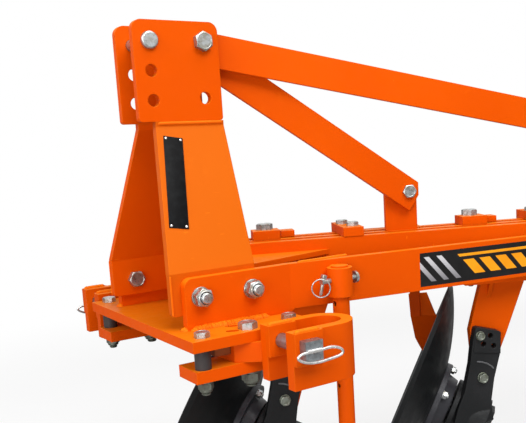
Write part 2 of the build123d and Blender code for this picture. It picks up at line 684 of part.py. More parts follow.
for index in range(DISC_COUNT):
    number = index + 1
    shift = index * FURROW_PITCH
    first = home.from_local_coords((DISC_X, DISC_Y, -DISC_DROP))
    centre = first + Vector(*beam_dir) * shift
    axle = Axis(centre, axle_dir)
    disc_section = Plane(origin=centre, x_dir=axle_dir, z_dir=across_dir)
    at = STANDARD_ALONG + shift

    with BuildPart() as disc:
        with BuildSketch(disc_section):
            with BuildLine():
                Line((DISC_DISH, 0), (DISC_DISH, DISC_FLAT_R))
                ThreePointArc((DISC_DISH, DISC_FLAT_R), (front_middle, middle_r), (0, DISC_R))
                Line((0, DISC_R), (bevel_depth, bevel_r))
                ThreePointArc((bevel_depth, bevel_r), (back_middle, middle_r), (back_flat, DISC_FLAT_R))
                Line((back_flat, DISC_FLAT_R), (back_flat, 0))
                Line((back_flat, 0), (DISC_DISH, 0))
            make_face()
        revolve(axis=axle)
    disc.part.label = f"disc_{number}"
    export_step(disc.part, f"parts/disc_{number}.step")

    with BuildPart() as hub:
        with BuildSketch(disc_section):
            with BuildLine():
                Polyline(
                    (back_flat, 0),
                    (back_flat, DISC_FLAT_R),
                    (back_flat + FLANGE_T, DISC_FLAT_R),
                    (back_flat + FLANGE_T, DRUM_R),
                    (DRUM_END, DRUM_SMALL_R),
                    (DRUM_END, SPINDLE_R),
                    (SPINDLE_END, SPINDLE_R),
                    (SPINDLE_END, 0),
                    close=True,
                )
            make_face()
        revolve(axis=axle)
    hub.part.label = f"hub_{number}"
    export_step(hub.part, f"parts/hub_{number}.step")

    with BuildPart() as hub_bracket:
        with BuildSketch(disc_section):
            with BuildLine():
                Polyline(
                    (HOUSING_START, SPINDLE_R + SPINDLE_FIT),
                    (HOUSING_START, HOUSING_FACE_R),
                    (HOUSING_START + HOUSING_FACE_T, HOUSING_FACE_R),
                    (HOUSING_START + HOUSING_FACE_T, HOUSING_R),
                    (HOUSING_END, HOUSING_R),
                    (HOUSING_END, 0),
                    (BORE_END, 0),
                    (BORE_END, SPINDLE_R + SPINDLE_FIT),
                    close=True,
                )
            make_face()
        revolve(axis=axle)
        with BuildSketch(Plane(origin=centre, x_dir=across_dir, z_dir=axle_dir).offset(HOUSING_END)):
            RegularPolygon(CAP_FLATS / 2, 6, major_radius=False)
        extrude(amount=CAP_T)
        with BuildSketch(beam_view(STANDARD_OFF, at)):
            with BuildLine():
                Polyline(*CHEEK_EDGE, close=True)
            make_face()
            fillet(vertices().sort_by(Axis.Y)[-2:], radius=CHEEK_CORNER)
        extrude(amount=CHEEK_T)
        with BuildSketch(beam_view(STANDARD_OFF - CHEEK_T, at)):
            with BuildLine():
                Polyline(
                    CHEEK_EDGE[0],
                    CHEEK_EDGE[1],
                    CHEEK_EDGE[2],
                    (CHEEK_EDGE[-1][0] + CHEEK_PAD_SET, CHEEK_PAD_LOW),
                    (CHEEK_EDGE[-1][0] + CHEEK_PAD_SET, CHEEK_EDGE[-1][1]),
                    close=True,
                )
            make_face()
            fillet(vertices().sort_by(Axis.Y)[-2:], radius=CHEEK_CORNER)
        extrude(amount=CHEEK_PAD_T)
        with BuildSketch(beam_view(STANDARD_OFF, at)):
            with Locations(*CHEEK_HOLES):
                Circle(CHEEK_HOLE_D / 2)
        extrude(amount=CHEEK_T + CHEEK_PAD_T, mode=Mode.SUBTRACT)
        with BuildSketch(disc_section):
            with BuildLine():
                Polyline(
                    (0, 0),
                    (0, SPINDLE_R + SPINDLE_FIT),
                    (BORE_END, SPINDLE_R + SPINDLE_FIT),
                    (BORE_END, 0),
                    close=True,
                )
            make_face()
        revolve(axis=axle, mode=Mode.SUBTRACT)
    hub_bracket.part.label = f"hub_bracket_{number}"
    export_step(hub_bracket.part, f"parts/hub_bracket_{number}.step")

    with BuildPart() as standard:
        with BuildSketch(beam):
            with BuildLine():
                Polyline(
                    (at + HEAD_SPAN[0], 0),
                    (at + HEAD_SPAN[1], 0),
                    (at + HEAD_SPAN[1], HEAD_WIDTH),
                    (at + HEAD_SPAN[0] + HEAD_CUT[0], HEAD_WIDTH),
                    (at + HEAD_SPAN[0], HEAD_WIDTH - HEAD_CUT[1]),
                    close=True,
                )
            make_face()
        extrude(amount=-HEAD_T)
        with BuildSketch(beam_view(STANDARD_OFF, at)):
            with BuildLine():
                Polyline(*STANDARD_EDGE, close=True)
            make_face()
        extrude(amount=-STANDARD_T)
        rib_foot = beam.from_local_coords((at + RIB_ALONG, STANDARD_OFF, 0))
        with BuildSketch(Plane(origin=rib_foot, x_dir=-beam.y_dir, z_dir=beam.x_dir)):
            with BuildLine():
                Polyline(
                    (0, HEAD_T),
                    (RIB_REACH, HEAD_T),
                    (0, HEAD_T + RIB_DROP),
                    close=True,
                )
            make_face()
        extrude(amount=RIB_T)
    standard.part.label = f"standard_{number}"
    export_step(standard.part, f"parts/standard_{number}.step")

    # scraper: a folded blade in the disc's hollow face, its stem and the arm that holds them
    out_dir = (cos(angle), -sin(angle), 0)
    across = Plane(origin=centre, x_dir=out_dir, z_dir=across_dir)
    fold = Plane(origin=centre, x_dir=(sin(angle), cos(angle), 0), z_dir=out_dir)
    upright = Plane(origin=centre, x_dir=out_dir, z_dir=(0, 0, 1))
    arm_top = SIDE_HEIGHT if index == 0 else BAR_HEIGHT
    with BuildPart() as scraper:
        with BuildSketch(fold):
            with BuildLine():
                (top_a, top_z), (mid_a, mid_z), (low_a, low_z) = BLADE_FOLD
                Polyline(
                    (top_a, top_z),
                    (mid_a, mid_z),
                    (low_a, low_z),
                    (low_a + BLADE_T, low_z),
                    (mid_a + BLADE_T, mid_z),
                    (top_a + BLADE_T, top_z),
                    close=True,
                )
            make_face()
        extrude(amount=DISC_R)
        with BuildSketch(across):
            with BuildLine():
                Polyline(*BLADE_EDGE, close=True)
            make_face()
        extrude(amount=-DISC_R, mode=Mode.INTERSECT)
        with BuildSketch(upright.offset(STEM_LOW)):
            with Locations((sum(STEM_OUT) / 2, sum(STEM_ACROSS) / 2)):
                Rectangle(STEM_OUT[1] - STEM_OUT[0], STEM_ACROSS[1] - STEM_ACROSS[0])
        extrude(amount=DISC_DROP + arm_top - STEM_LOW)
        if index == 0:
            start, end, side_from, side_to, height = FIRST_ARM
            with BuildSketch(home.offset(SIDE_HEIGHT)):
                with Locations(((start + end) / 2, (side_from + side_to) / 2)):
                    Rectangle(end - start, side_to - side_from)
            extrude(amount=height)
        else:
            stem_at = beam.to_local_coords(upright.from_local_coords((STEM_OUT[1], STEM_ACROSS[0], 0)))
            start = SCRAPER_CLAMP[0] + shift - FURROW_PITCH
            with BuildSketch(beam.offset(BAR_HEIGHT - SCRAPER_ARM_H)):
                with Locations((start, BEAM_WIDTH + SCRAPER_ARM_GAP)):
                    Rectangle(stem_at.X - start, SCRAPER_ARM_T, align=(Align.MIN, Align.MIN))
            extrude(amount=SCRAPER_ARM_H)
    scraper.part.label = f"scraper_{number}"
    export_step(scraper.part, f"parts/scraper_{number}.step")

# ================================================================ rear furrow wheel
wheel_tilt = radians(WHEEL_TILT)
wheel_dir = (0, cos(wheel_tilt), -sin(wheel_tilt))
wheel_height = WHEEL_R * cos(wheel_tilt) + WHEEL_FLANGE_HALF * sin(wheel_tilt)
leg_at = beam.from_local_coords((WHEEL_ALONG, BEAM_WIDTH / 2, 0))
wheel_centre = (leg_at.X, leg_at.Y + WHEEL_OUT * cos(wheel_tilt), wheel_height)
leg_foot = wheel_height + WHEEL_OUT * sin(wheel_tilt)
wheel_section = Plane(origin=wheel_centre, x_dir=wheel_dir, z_dir=(1, 0, 0))

with BuildPart() as furrow_wheel:
    with BuildSketch(wheel_section):
        with BuildLine():
            Polyline(
                (-WHEEL_HUB_HALF, AXLE_R + WHEEL_BORE_FIT),
                (-WHEEL_HUB_HALF, WHEEL_HUB_R),
                (-WHEEL_WEB_HALF, WHEEL_HUB_R),
                (-WHEEL_WEB_HALF, WHEEL_RIM_R - WHEEL_RIM_T),
                (-WHEEL_HALF, WHEEL_RIM_R - WHEEL_RIM_T),
                (-WHEEL_HALF, WHEEL_RIM_R),
                (-WHEEL_FLANGE_HALF, WHEEL_RIM_R),
                (-WHEEL_FLANGE_HALF, WHEEL_R),
                (WHEEL_FLANGE_HALF, WHEEL_R),
                (WHEEL_FLANGE_HALF, WHEEL_RIM_R),
                (WHEEL_HALF, WHEEL_RIM_R),
                (WHEEL_HALF, WHEEL_RIM_R - WHEEL_RIM_T),
                (WHEEL_WEB_HALF, WHEEL_RIM_R - WHEEL_RIM_T),
                (WHEEL_WEB_HALF, WHEEL_HUB_R),
                (WHEEL_HUB_HALF, WHEEL_HUB_R),
                (WHEEL_HUB_HALF, AXLE_R + WHEEL_BORE_FIT),
                close=True,
            )
        make_face()
    revolve(axis=Axis(wheel_centre, wheel_dir))
furrow_wheel.part.label = "furrow_wheel"
export_step(furrow_wheel.part, "parts/furrow_wheel.step")

leg = Plane(origin=(leg_at.X, leg_at.Y, leg_foot))
leg_length = PLATE_TOP + LEG_TOP - leg_foot
collar_gap, collar_long, collar_high = AXLE_COLLAR
collar_end = -WHEEL_HUB_HALF - collar_gap
with BuildPart(leg) as wheel_leg:
    with BuildSketch(leg):
        Circle(LEG_R)
    extrude(amount=leg_length)
    with BuildSketch(leg.offset(leg_length - LEG_COLLAR_T)):
        Circle(LEG_COLLAR_R)
    extrude(amount=LEG_COLLAR_T)
    Sphere(LEG_R)
    with BuildSketch(wheel_section):
        with BuildLine():
            Polyline(
                (-WHEEL_OUT, 0),
                (-WHEEL_OUT, AXLE_R),
                (collar_end - collar_long, AXLE_R),
                (collar_end - collar_long, AXLE_R + collar_high),
                (collar_end, AXLE_R + collar_high),
                (collar_end, AXLE_R),
                (WHEEL_HUB_HALF - AXLE_SHORT, AXLE_R),
                (WHEEL_HUB_HALF - AXLE_SHORT, 0),
                close=True,
            )
        make_face()
    revolve(axis=Axis(wheel_centre, wheel_dir))
wheel_leg.part.label = "wheel_leg"
export_step(wheel_leg.part, "parts/wheel_leg.step")

with BuildPart() as wheel_bracket:
    with BuildSketch(beam):
        with Locations((BAR_REAR + END_PLATE_T / 2, BEAM_WIDTH / 2)):
            Rectangle(END_PLATE_T, BEAM_WIDTH)
    extrude(amount=BAR_HEIGHT)
    with BuildSketch(beam):
        with Locations(((BAR_REAR + WHEEL_ALONG) / 2, BEAM_WIDTH / 2)):
            Rectangle(WHEEL_ALONG - BAR_REAR, WEB_T)
    extrude(amount=BAR_HEIGHT)
    with BuildSketch(beam.offset(LEG_SLEEVE[0])):
        with Locations((WHEEL_ALONG, BEAM_WIDTH / 2)):
            Circle(LEG_SLEEVE_R)
    extrude(amount=LEG_SLEEVE[1] - LEG_SLEEVE[0])
    with BuildSketch(beam.offset(LEG_SLEEVE[0])):
        with Locations((WHEEL_ALONG, BEAM_WIDTH / 2)):
            Circle(LEG_R + LEG_FIT)
    extrude(amount=LEG_SLEEVE[1] - LEG_SLEEVE[0], mode=Mode.SUBTRACT)
wheel_bracket.part.label = "wheel_bracket"
export_step(wheel_bracket.part, "parts/wheel_bracket.step")
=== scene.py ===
import math
import random

import bmesh
import bpy
from mathutils import Matrix, Vector


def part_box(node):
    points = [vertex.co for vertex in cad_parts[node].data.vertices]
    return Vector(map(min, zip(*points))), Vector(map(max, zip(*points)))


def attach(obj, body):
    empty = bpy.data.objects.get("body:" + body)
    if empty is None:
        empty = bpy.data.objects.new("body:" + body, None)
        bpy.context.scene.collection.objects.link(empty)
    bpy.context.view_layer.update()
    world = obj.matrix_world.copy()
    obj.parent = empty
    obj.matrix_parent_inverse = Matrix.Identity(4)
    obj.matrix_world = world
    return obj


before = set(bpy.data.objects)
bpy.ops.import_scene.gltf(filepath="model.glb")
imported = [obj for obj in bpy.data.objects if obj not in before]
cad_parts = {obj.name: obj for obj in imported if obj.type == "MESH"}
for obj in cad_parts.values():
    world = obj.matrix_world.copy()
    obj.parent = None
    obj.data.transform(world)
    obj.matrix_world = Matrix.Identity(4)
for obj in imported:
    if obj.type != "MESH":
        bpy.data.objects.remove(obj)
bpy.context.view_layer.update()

random.seed(23)

# Dresses the CAD frame of a mounted disc plough: fasteners, welds, trim, paint, light and camera.
# Lengths are millimetres and turns in tables are degrees, unless a comment says otherwise.
# Home is the base plate's top, at its front edge and its middle.

# ---------------------------------------------------------------- shared places
MM = 0.001
IN_MM = Matrix.Scale(MM, 4)
UP = Vector((0, 0, 1))
LEFT = Vector((0, -1, 0))
RIGHT = Vector((0, 1, 0))
BOTH_HANDS = (-1, 1)              # left, right

plate_low, plate_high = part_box("base_plate")
HOME = Vector((plate_low.x, (plate_low.y + plate_high.y) / 2, plate_high.z))
BEAM_START = (297.0, 8.0)         # where the beam's left face starts
BEAM_ANGLE = math.radians(23.6)
PLATE_START = (278.0, -190.0)     # the kink of the left side plate's outer face
PLATE_ANGLE = math.radians(11.0)
MAST_FOOT = (0.0, -170.0, 114.0)  # where the left mast side's outer face starts to lean in
MAST_SLANT = Vector((0.0, 115.0, 290.0)).normalized()

beam_dir = Vector((math.cos(BEAM_ANGLE), -math.sin(BEAM_ANGLE), 0))
beam_off = Vector((math.sin(BEAM_ANGLE), math.cos(BEAM_ANGLE), 0))
plate_dir = Vector((math.cos(PLATE_ANGLE), -math.sin(PLATE_ANGLE), 0))
plate_out = Vector((-math.sin(PLATE_ANGLE), -math.cos(PLATE_ANGLE), 0))
mast_out = Vector((0.0, -MAST_SLANT.z, MAST_SLANT.y))


def at_home(x, y, z):
    return HOME + Vector((x, y, z)) * MM


def at_beam(along, off, z):
    return at_home(*BEAM_START, 0) + (beam_dir * along + beam_off * off + UP * z) * MM


def at_plate(along, out, z):
    return at_home(*PLATE_START, 0) + (plate_dir * along + plate_out * out + UP * z) * MM


# ---------------------------------------------------------------- materials
def colour(red, green, blue):
    """Linear colour of an sRGB triple from 0 to 255."""
    linear = []
    for value in (red, green, blue):
        share = value / 255
        linear.append(share / 12.92 if share <= 0.04045 else ((share + 0.055) / 1.055) ** 2.4)
    return (*linear, 1.0)


class Shader:
    """Short names for building one material's nodes; scales are per metre and lengths in metres."""

    def __init__(self, name):
        self.material = bpy.data.materials.new(name)
        self.material.use_nodes = True
        self.tree = self.material.node_tree
        self.tree.nodes.clear()
        self.output = self.add("ShaderNodeOutputMaterial")
        self.surface = self.add("ShaderNodeBsdfPrincipled")
        self.link(self.surface.outputs[0], self.output.inputs[0])
        self.place = self.add("ShaderNodeTexCoord").outputs["Object"]

    def add(self, kind, **settings):
        made = self.tree.nodes.new(kind)
        for key, value in settings.items():
            setattr(made, key, value)
        return made

    def link(self, source, target):
        self.tree.links.new(source, target)

    def fill(self, socket, value):
        if isinstance(value, bpy.types.NodeSocket):
            self.link(value, socket)
        else:
            socket.default_value = value

    def set(self, name, value):
        self.fill(self.surface.inputs[name], value)

    def noise(self, scale, detail=3.0, rough=0.5, stretch=None):
        """Noise from 0 to 1; stretch gives the scale and the turn of its place on each axis."""
        made = self.add("ShaderNodeTexNoise")
        made.inputs["Scale"].default_value = scale
        made.inputs["Detail"].default_value = detail
        made.inputs["Roughness"].default_value = rough
        source = self.place
        if stretch:
            mapping = self.add("ShaderNodeMapping")
            mapping.inputs["Scale"].default_value = stretch[0]
            mapping.inputs["Rotation"].default_value = stretch[1]
            self.link(source, mapping.inputs["Vector"])
            source = mapping.outputs[0]
        self.link(source, made.inputs["Vector"])
        return made.outputs["Fac"]

    def ramp(self, value, low, high, to_low=0.0, to_high=1.0):
        """Smooth step of the value from low to high."""
        made = self.add("ShaderNodeMapRange", interpolation_type="SMOOTHSTEP")
        self.fill(made.inputs["Value"], value)
        limits = {"From Min": low, "From Max": high, "To Min": to_low, "To Max": to_high}
        for key, number in limits.items():
            made.inputs[key].default_value = number
        return made.outputs["Result"]

    def math(self, operation, first, second):
        made = self.add("ShaderNodeMath", operation=operation)
        self.fill(made.inputs[0], first)
        self.fill(made.inputs[1], second)
        return made.outputs[0]

    def mix(self, factor, first, second):
        made = self.add("ShaderNodeMix", data_type="RGBA")
        self.fill(made.inputs["Factor"], factor)
        self.fill(made.inputs["A"], first)
        self.fill(made.inputs["B"], second)
        return made.outputs["Result"]

    def bump(self, height, strength, distance, normal=None):
        made = self.add("ShaderNodeBump")
        made.inputs["Strength"].default_value = strength
        made.inputs["Distance"].default_value = distance
        self.link(height, made.inputs["Height"])
        if normal:
            self.link(normal, made.inputs["Normal"])
        return made.outputs[0]

    def parts(self, vector):
        """The vector's three numbers, by the names X, Y and Z."""
        made = self.add("ShaderNodeSeparateXYZ")
        self.link(vector, made.inputs[0])
        return made.outputs

    def edges(self, radius):
        """Rounded normal, and a value of 0 on flat faces that rises on edges."""
        bevel = self.add("ShaderNodeBevel", samples=6)
        bevel.inputs["Radius"].default_value = radius
        geometry = self.add("ShaderNodeNewGeometry")
        dot = self.add("ShaderNodeVectorMath", operation="DOT_PRODUCT")
        self.link(bevel.outputs[0], dot.inputs[0])
        self.link(geometry.outputs["Normal"], dot.inputs[1])
        return bevel.outputs[0], self.math("SUBTRACT", 1.0, dot.outputs["Value"])

    def patches(self, scale, detail, first, second):
        """Two tones in soft patches."""
        return self.mix(self.ramp(self.noise(scale, detail), 0.4, 0.7), first, second)

    def set_rough(self, scale, detail, span):
        """Roughness that wanders between the span's two values."""
        self.set("Roughness", self.ramp(self.noise(scale, detail), 0.3, 0.7, *span))


def paint(name, base, deep, peel=0.05, chip=None):
    """Orange coat: uneven tone, a painted highlight where it faces up and along edges, scuffs, chips on
    edges, dust, orange peel.
    """
    made = Shader(name)
    tone = made.mix(made.ramp(made.noise(2.3, 4.0), 0.35, 0.7), base, deep)
    cloud = made.ramp(made.noise(17.0, 5.0, 0.6), 0.62, 0.78, 0.0, 0.12)
    tone = made.mix(cloud, tone, ORANGE_PALE)
    scratch = made.noise(34.0, 2.0, 0.4, stretch=((1.0, 14.0, 2.0), (0.3, 0.9, 0.4)))
    where = made.ramp(made.noise(5.0, 2.0), 0.56, 0.7)
    scuff = made.math("MULTIPLY", made.ramp(scratch, 0.72, 0.76, 0.0, 0.5), where)
    tone = made.mix(scuff, tone, ORANGE_PALE)
    rounded, edge = made.edges(0.0022)
    # Painted highlight along edges, standing in for the light caught by their rounding.
    tone = made.mix(made.ramp(edge, 0.01, 0.2, 0.0, 0.45), tone, ORANGE_PALE)
    if chip:
        spots = made.ramp(made.noise(85.0, 3.0, 0.6), 0.69, 0.72)
        bare = made.math("MULTIPLY", spots, made.ramp(edge, 0.05, 0.2))
        tone = made.mix(bare, tone, chip)
    upward = made.parts(made.add("ShaderNodeNewGeometry").outputs["Normal"])["Z"]
    # Painted highlight: faces that look up are mixed towards a yellower orange, standing in for the light
    # from above.
    tone = made.mix(made.ramp(upward, 0.0, 1.0, 0.0, 0.5), tone, ORANGE_TOP_HIGHLIGHT)
    spread = made.ramp(made.noise(9.0, 6.0), 0.45, 0.75, 0.0, 0.10)
    dust = made.math("MULTIPLY", made.ramp(upward, 0.6, 1.0), spread)
    tone = made.mix(dust, tone, ORANGE_PALE)
    made.set("Base Color", tone)
    made.set_rough(48.0, 4.0, (0.40, 0.52))
    made.set("Specular IOR Level", 0.05)
    fine = made.bump(made.noise(420.0, 2.0), peel, 0.0006, rounded)
    made.set("Normal", made.bump(made.noise(60.0, 3.0), peel, 0.001, fine))
    return made.material


def cast(name, base, pale, rough, grain, specular=0.35):
    """Painted casting or moulding: pitted skin, rubbed edges."""
    made = Shader(name)
    tone = made.mix(made.ramp(made.noise(6.0, 5.0), 0.4, 0.75, 0.0, 0.5), base, pale)
    rounded, edge = made.edges(0.003)
    tone = made.mix(made.ramp(edge, 0.02, 0.3, 0.0, 0.5), tone, pale)
    made.set("Base Color", tone)
    made.set_rough(70.0, 3.0, rough)
    made.set("Specular IOR Level", specular)
    fine = made.bump(made.noise(520.0, 3.0), grain, 0.0008, rounded)
    made.set("Normal", made.bump(made.noise(140.0, 4.0), grain, 0.0015, fine))
    return made.material


def plated(name, base, tint, rough=(0.22, 0.42)):
    """Zinc plate: passivated tint in patches, grime, fine grain."""
    made = Shader(name)
    patch = made.ramp(made.noise(75.0, 3.0), 0.42, 0.66)
    tone = made.mix(patch, base, tint)
    grime = made.ramp(made.noise(120.0, 4.0, 0.6), 0.52, 0.75, 0.0, 0.35)
    made.set("Base Color", made.mix(grime, tone, (0.10, 0.09, 0.08, 1)))
    made.set("Metallic", 0.85)
    made.set_rough(160.0, 4.0, rough)
    made.set("Normal", made.bump(made.noise(900.0, 2.0), 0.06, 0.0003))
    return made.material


def disc_paint():
    """Black enamel on the discs: uneven tone, worn edges, dull smears."""
    made = Shader("disc_black_enamel")
    tone = made.mix(made.ramp(made.noise(4.0, 4.0), 0.35, 0.7), colour(13, 15, 16), colour(9, 11, 12))
    rounded, edge = made.edges(0.002)
    tone = made.mix(made.ramp(edge, 0.02, 0.3, 0.0, 0.5), tone, colour(80, 82, 85))
    smear = made.ramp(made.noise(26.0, 5.0, 0.65), 0.6, 0.8, 0.0, 0.12)
    tone = made.mix(smear, tone, colour(84, 82, 78))
    made.set("Base Color", tone)
    made.set_rough(30.0, 4.0, (0.36, 0.5))
    made.set("Specular IOR Level", 0.25)
    made.set("Normal", made.bump(made.noise(260.0, 3.0), 0.08, 0.0006, rounded))
    return made.material


# Pale orange for the random cloud, the scuffs, the dust and a painted highlight along edges.
ORANGE_PALE = colour(244, 124, 18)
# Yellower orange for a painted highlight on faces that look up.
ORANGE_TOP_HIGHLIGHT = colour(218, 132, 18)
STEEL_CHIP = colour(70, 40, 30)
CASTING_ROUGH = (0.42, 0.6)
DULL_ROUGH = (0.5, 0.65)

orange = paint("orange_powder_coat", colour(222, 83, 1), colour(216, 77, 0), chip=STEEL_CHIP)
# Yellower copy of the orange coat for the leaning left mast side: a painted sheen, standing in for the light
# this face catches.
mast_sheen_orange = paint("mast_painted_sheen_coat", colour(203, 86, 7), colour(199, 82, 5), chip=STEEL_CHIP)
weld_orange = paint("weld_paint", colour(232, 106, 12), colour(220, 90, 6), peel=0.4)

black = cast("black_casting_paint", colour(27, 28, 29), colour(50, 50, 52), CASTING_ROUGH, 0.26, 0.18)
ridge_black = cast("black_casting_ridge", colour(92, 93, 95), colour(120, 121, 123), CASTING_ROUGH, 0.2, 0.18)
flange_black = cast("black_flange_paint", colour(46, 46, 50), colour(84, 84, 90), (0.34, 0.5), 0.12, 0.25)
spacer_black = cast("black_spacer_paint", colour(52, 46, 45), colour(78, 72, 68), DULL_ROUGH, 0.1)
packing_brown = cast("primed_packing", colour(140, 80, 44), colour(168, 100, 58), DULL_ROUGH, 0.15, 0.1)
nylon = cast("nylon_insert", colour(28, 32, 44), colour(60, 66, 84), (0.4, 0.5), 0.05)

zinc = plated("zinc_plate", (0.44, 0.46, 0.46, 1), (0.33, 0.32, 0.28, 1))
olive_zinc = plated("olive_zinc_plate", (0.24, 0.26, 0.22, 1), (0.16, 0.17, 0.13, 1), (0.28, 0.45))
pin_zinc = plated("pin_zinc_plate", (0.34, 0.37, 0.39, 1), (0.24, 0.25, 0.26, 1), (0.26, 0.4))
bright_zinc = plated("bright_zinc_wire", (0.68, 0.68, 0.67, 1), (0.56, 0.55, 0.53, 1), (0.16, 0.3))
dull_zinc = plated("dull_zinc_plate", (0.16, 0.17, 0.14, 1), (0.11, 0.11, 0.09, 1), (0.35, 0.5))

enamel = disc_paint()

# ---------------------------------------------------------------- finishes of the CAD nodes
# by a node's name, or by its name without number or hand; the rest is orange
FINISH = {
    "mast_side_left": mast_sheen_orange,
    "disc": enamel,
    "hub": flange_black,
    "hub_bracket": black,
    "furrow_wheel": black,
    "hitch_spacers": spacer_black,
    "hitch_pin": pin_zinc,
    "top_link_pin": zinc,
    "stand_pin": zinc,
}


def family(node):
    stem, _, last = node.rpartition("_")
    return stem if last in ("1", "2", "3", "left", "right") else node


for node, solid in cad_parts.items():
    solid.data.materials.clear()
    solid.data.materials.append(FINISH.get(node, FINISH.get(family(node), orange)))


# ---------------------------------------------------------------- mesh building
class Piece:
    """Collects closed shapes drawn in millimetres and makes one mesh of them."""

    def __init__(self, name, material, body="frame", slot="zinc_steel", crease=32.0):
        self.name, self.material, self.body = name, material, body
        self.slot, self.crease = slot, crease
        self.verts, self.faces = [], []

    def add(self, shape, matrix):
        start = len(self.verts)
        verts, faces = shape
        self.verts += [matrix @ Vector(vert) for vert in verts]
        self.faces += [[start + index for index in face] for face in faces]

    def done(self):
        mesh = bpy.data.meshes.new(self.name)
        mesh.from_pydata([tuple(vert) for vert in self.verts], [], self.faces)
        work = bmesh.new()
        work.from_mesh(mesh)
        bmesh.ops.recalc_face_normals(work, faces=work.faces)
        work.to_mesh(mesh)
        work.free()
        for polygon in mesh.polygons:
            polygon.use_smooth = True
        mesh.set_sharp_from_angle(angle=math.radians(self.crease))
        mesh.materials.append(self.material)
        made = bpy.data.objects.new(self.name, mesh)
        bpy.context.scene.collection.objects.link(made)
        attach(made, self.body)


def place(origin, axis, turn=0.0):
    """Matrix from millimetres about z to metres about the axis at the origin."""
    rotation = UP.rotation_difference(axis.normalized()).to_matrix().to_4x4()
    spin = Matrix.Rotation(math.radians(turn), 4, "Z")
    return Matrix.Translation(origin) @ rotation @ spin @ IN_MM


def round_angles(segments):
    return [2 * math.pi * step / segments for step in range(segments)]


def rings(rows, closed=False):
    """Faces between rows of equal length; a row of one vertex is a pole."""
    verts, faces, starts = [], [], []
    for row in rows:
        starts.append(len(verts))
        verts += row
    pairs = list(zip(range(len(rows)), range(1, len(rows))))
    if closed:
        pairs.append((len(rows) - 1, 0))
    for low, high in pairs:
        count = max(len(rows[low]), len(rows[high]))
        for step in range(count):
            after = (step + 1) % count
            first, second = starts[low], starts[high]
            if len(rows[low]) == 1:
                faces.append((first, second + step, second + after))
            elif len(rows[high]) == 1:
                faces.append((first + after, first + step, second))
            else:
                faces.append((first + step, first + after, second + after, second + step))
    return verts, faces


def lathe(profile, segments=32, closed=False):
    """Solid turned about z from (radius, height) points; closed joins the last to the first."""
    rows = []
    for radius, height in profile:
        if radius == 0:
            rows.append([(0, 0, height)])
        else:
            angles = round_angles(segments)
            rows.append([(radius * math.cos(a), radius * math.sin(a), height) for a in angles])
    return rings(rows, closed)


def tube(points, radius, closed=False, segments=12, wobble=None):
    """Round bar along points, in the points' own units; wobble gives each ring's scale."""
    points = [Vector(point) for point in points]
    count = len(points)
    rows, normal = [], None
    for index, point in enumerate(points):
        before = points[index - 1] if index or closed else point
        after = points[(index + 1) % count] if index < count - 1 or closed else point
        way = (after - before).normalized()
        if normal is None:
            normal = way.orthogonal().normalized()
        normal = (normal - way * normal.dot(way)).normalized()
        side = way.cross(normal)
        size = radius * (wobble[index] if wobble else 1.0)
        turns = round_angles(segments)
        rows.append([tuple(point + (normal * math.cos(a) + side * math.sin(a)) * size) for a in turns])
    if not closed:
        rows = [[tuple(points[0])], *rows, [tuple(points[-1])]]
    return rings(rows, closed)


def block(low, high, soft):
    """Box with bevelled edges."""
    work = bmesh.new()
    bmesh.ops.create_cube(work, size=1.0)
    for vert in work.verts:
        vert.co = Vector([a + (b - a) * (c + 0.5) for a, b, c in zip(low, high, vert.co)])
    bmesh.ops.bevel(work, geom=work.edges[:], offset=soft, segments=3, profile=0.5, affect="EDGES")
    verts = [tuple(vert.co) for vert in work.verts]
    faces = [[vert.index for vert in face.verts] for face in work.faces]
    work.free()
    return verts, faces


def smooth_loop(points, rounds=3):
    """Closed polyline rounded by cutting corners."""
    for _ in range(rounds):
        cut = []
        for index, point in enumerate(points):
            after = points[(index + 1) % len(points)]
            cut.append(tuple(a * 0.75 + b * 0.25 for a, b in zip(point, after)))
            cut.append(tuple(a * 0.25 + b * 0.75 for a, b in zip(point, after)))
        points = cut
    return points


# ---------------------------------------------------------------- bolts and nuts
RING_SEGMENTS = 40
HEX_SEGMENTS = 48
HEX_CHAMFER = math.radians(30)
HEX_CROWN = 0.95                  # radius of the round top, as a share of half the flats
HEX_RIM = (1.6, 2.4)              # from a head's crown to its sunk face: lip, foot of the slope
WASHER_EDGE = 0.5
THREAD_PITCH = 2.5
THREAD_DEPTH = 0.55 * THREAD_PITCH
THREAD_CREST = 0.9 * THREAD_PITCH # where a turn is back at its full radius
THREAD_LEAD, THREAD_TAIL = 0.5, 1.5                        # plain lengths before and after the thread
BOLT_CHAMFER = 2.0
NUT_HEIGHT = 0.78                 # share of the thread size
COLLAR_R = 0.46                   # of a locking nut, as a share of the flats
COLLAR_EDGE = 1.6
COLLAR_HEIGHT = 4.5               # of a locking nut, counted for the bolt's length


def washer(outer, inner, thick):
    profile = (
        (inner, 0),
        (outer, 0),
        (outer, thick - WASHER_EDGE),
        (outer - WASHER_EDGE, thick),
        (inner, thick),
    )
    return lathe(profile, RING_SEGMENTS, closed=True)


def hexagon(flats, height, low_chamfer=False, dish=0.5):
    """Hexagonal head or nut, its corners turned off; dish is how deep its top is sunk."""
    half = flats / 2
    crown = HEX_CROWN * half
    slope = math.tan(HEX_CHAMFER)
    angles = round_angles(HEX_SEGMENTS)
    reach = [half / math.cos((a + math.pi / 6) % (math.pi / 3) - math.pi / 6) for a in angles]

    def outline(heights):
        return [(r * math.cos(a), r * math.sin(a), z) for a, r, z in zip(angles, reach, heights)]

    def circle(radius, z):
        return [(radius * math.cos(a), radius * math.sin(a), z) for a in angles]

    rows = [[(0, 0, 0)]]
    if low_chamfer:
        rows.append(circle(crown, 0))
        rows.append(outline([(r - crown) * slope for r in reach]))
    else:
        rows.append(outline([0] * HEX_SEGMENTS))
    rows.append(outline([height - (r - crown) * slope for r in reach]))
    rows.append(circle(crown, height))
    rows.append(circle(crown - HEX_RIM[0], height))
    rows.append(circle(crown - HEX_RIM[1], height - dish))
    rows.append([(0, 0, height - dish)])
    return rings(rows)


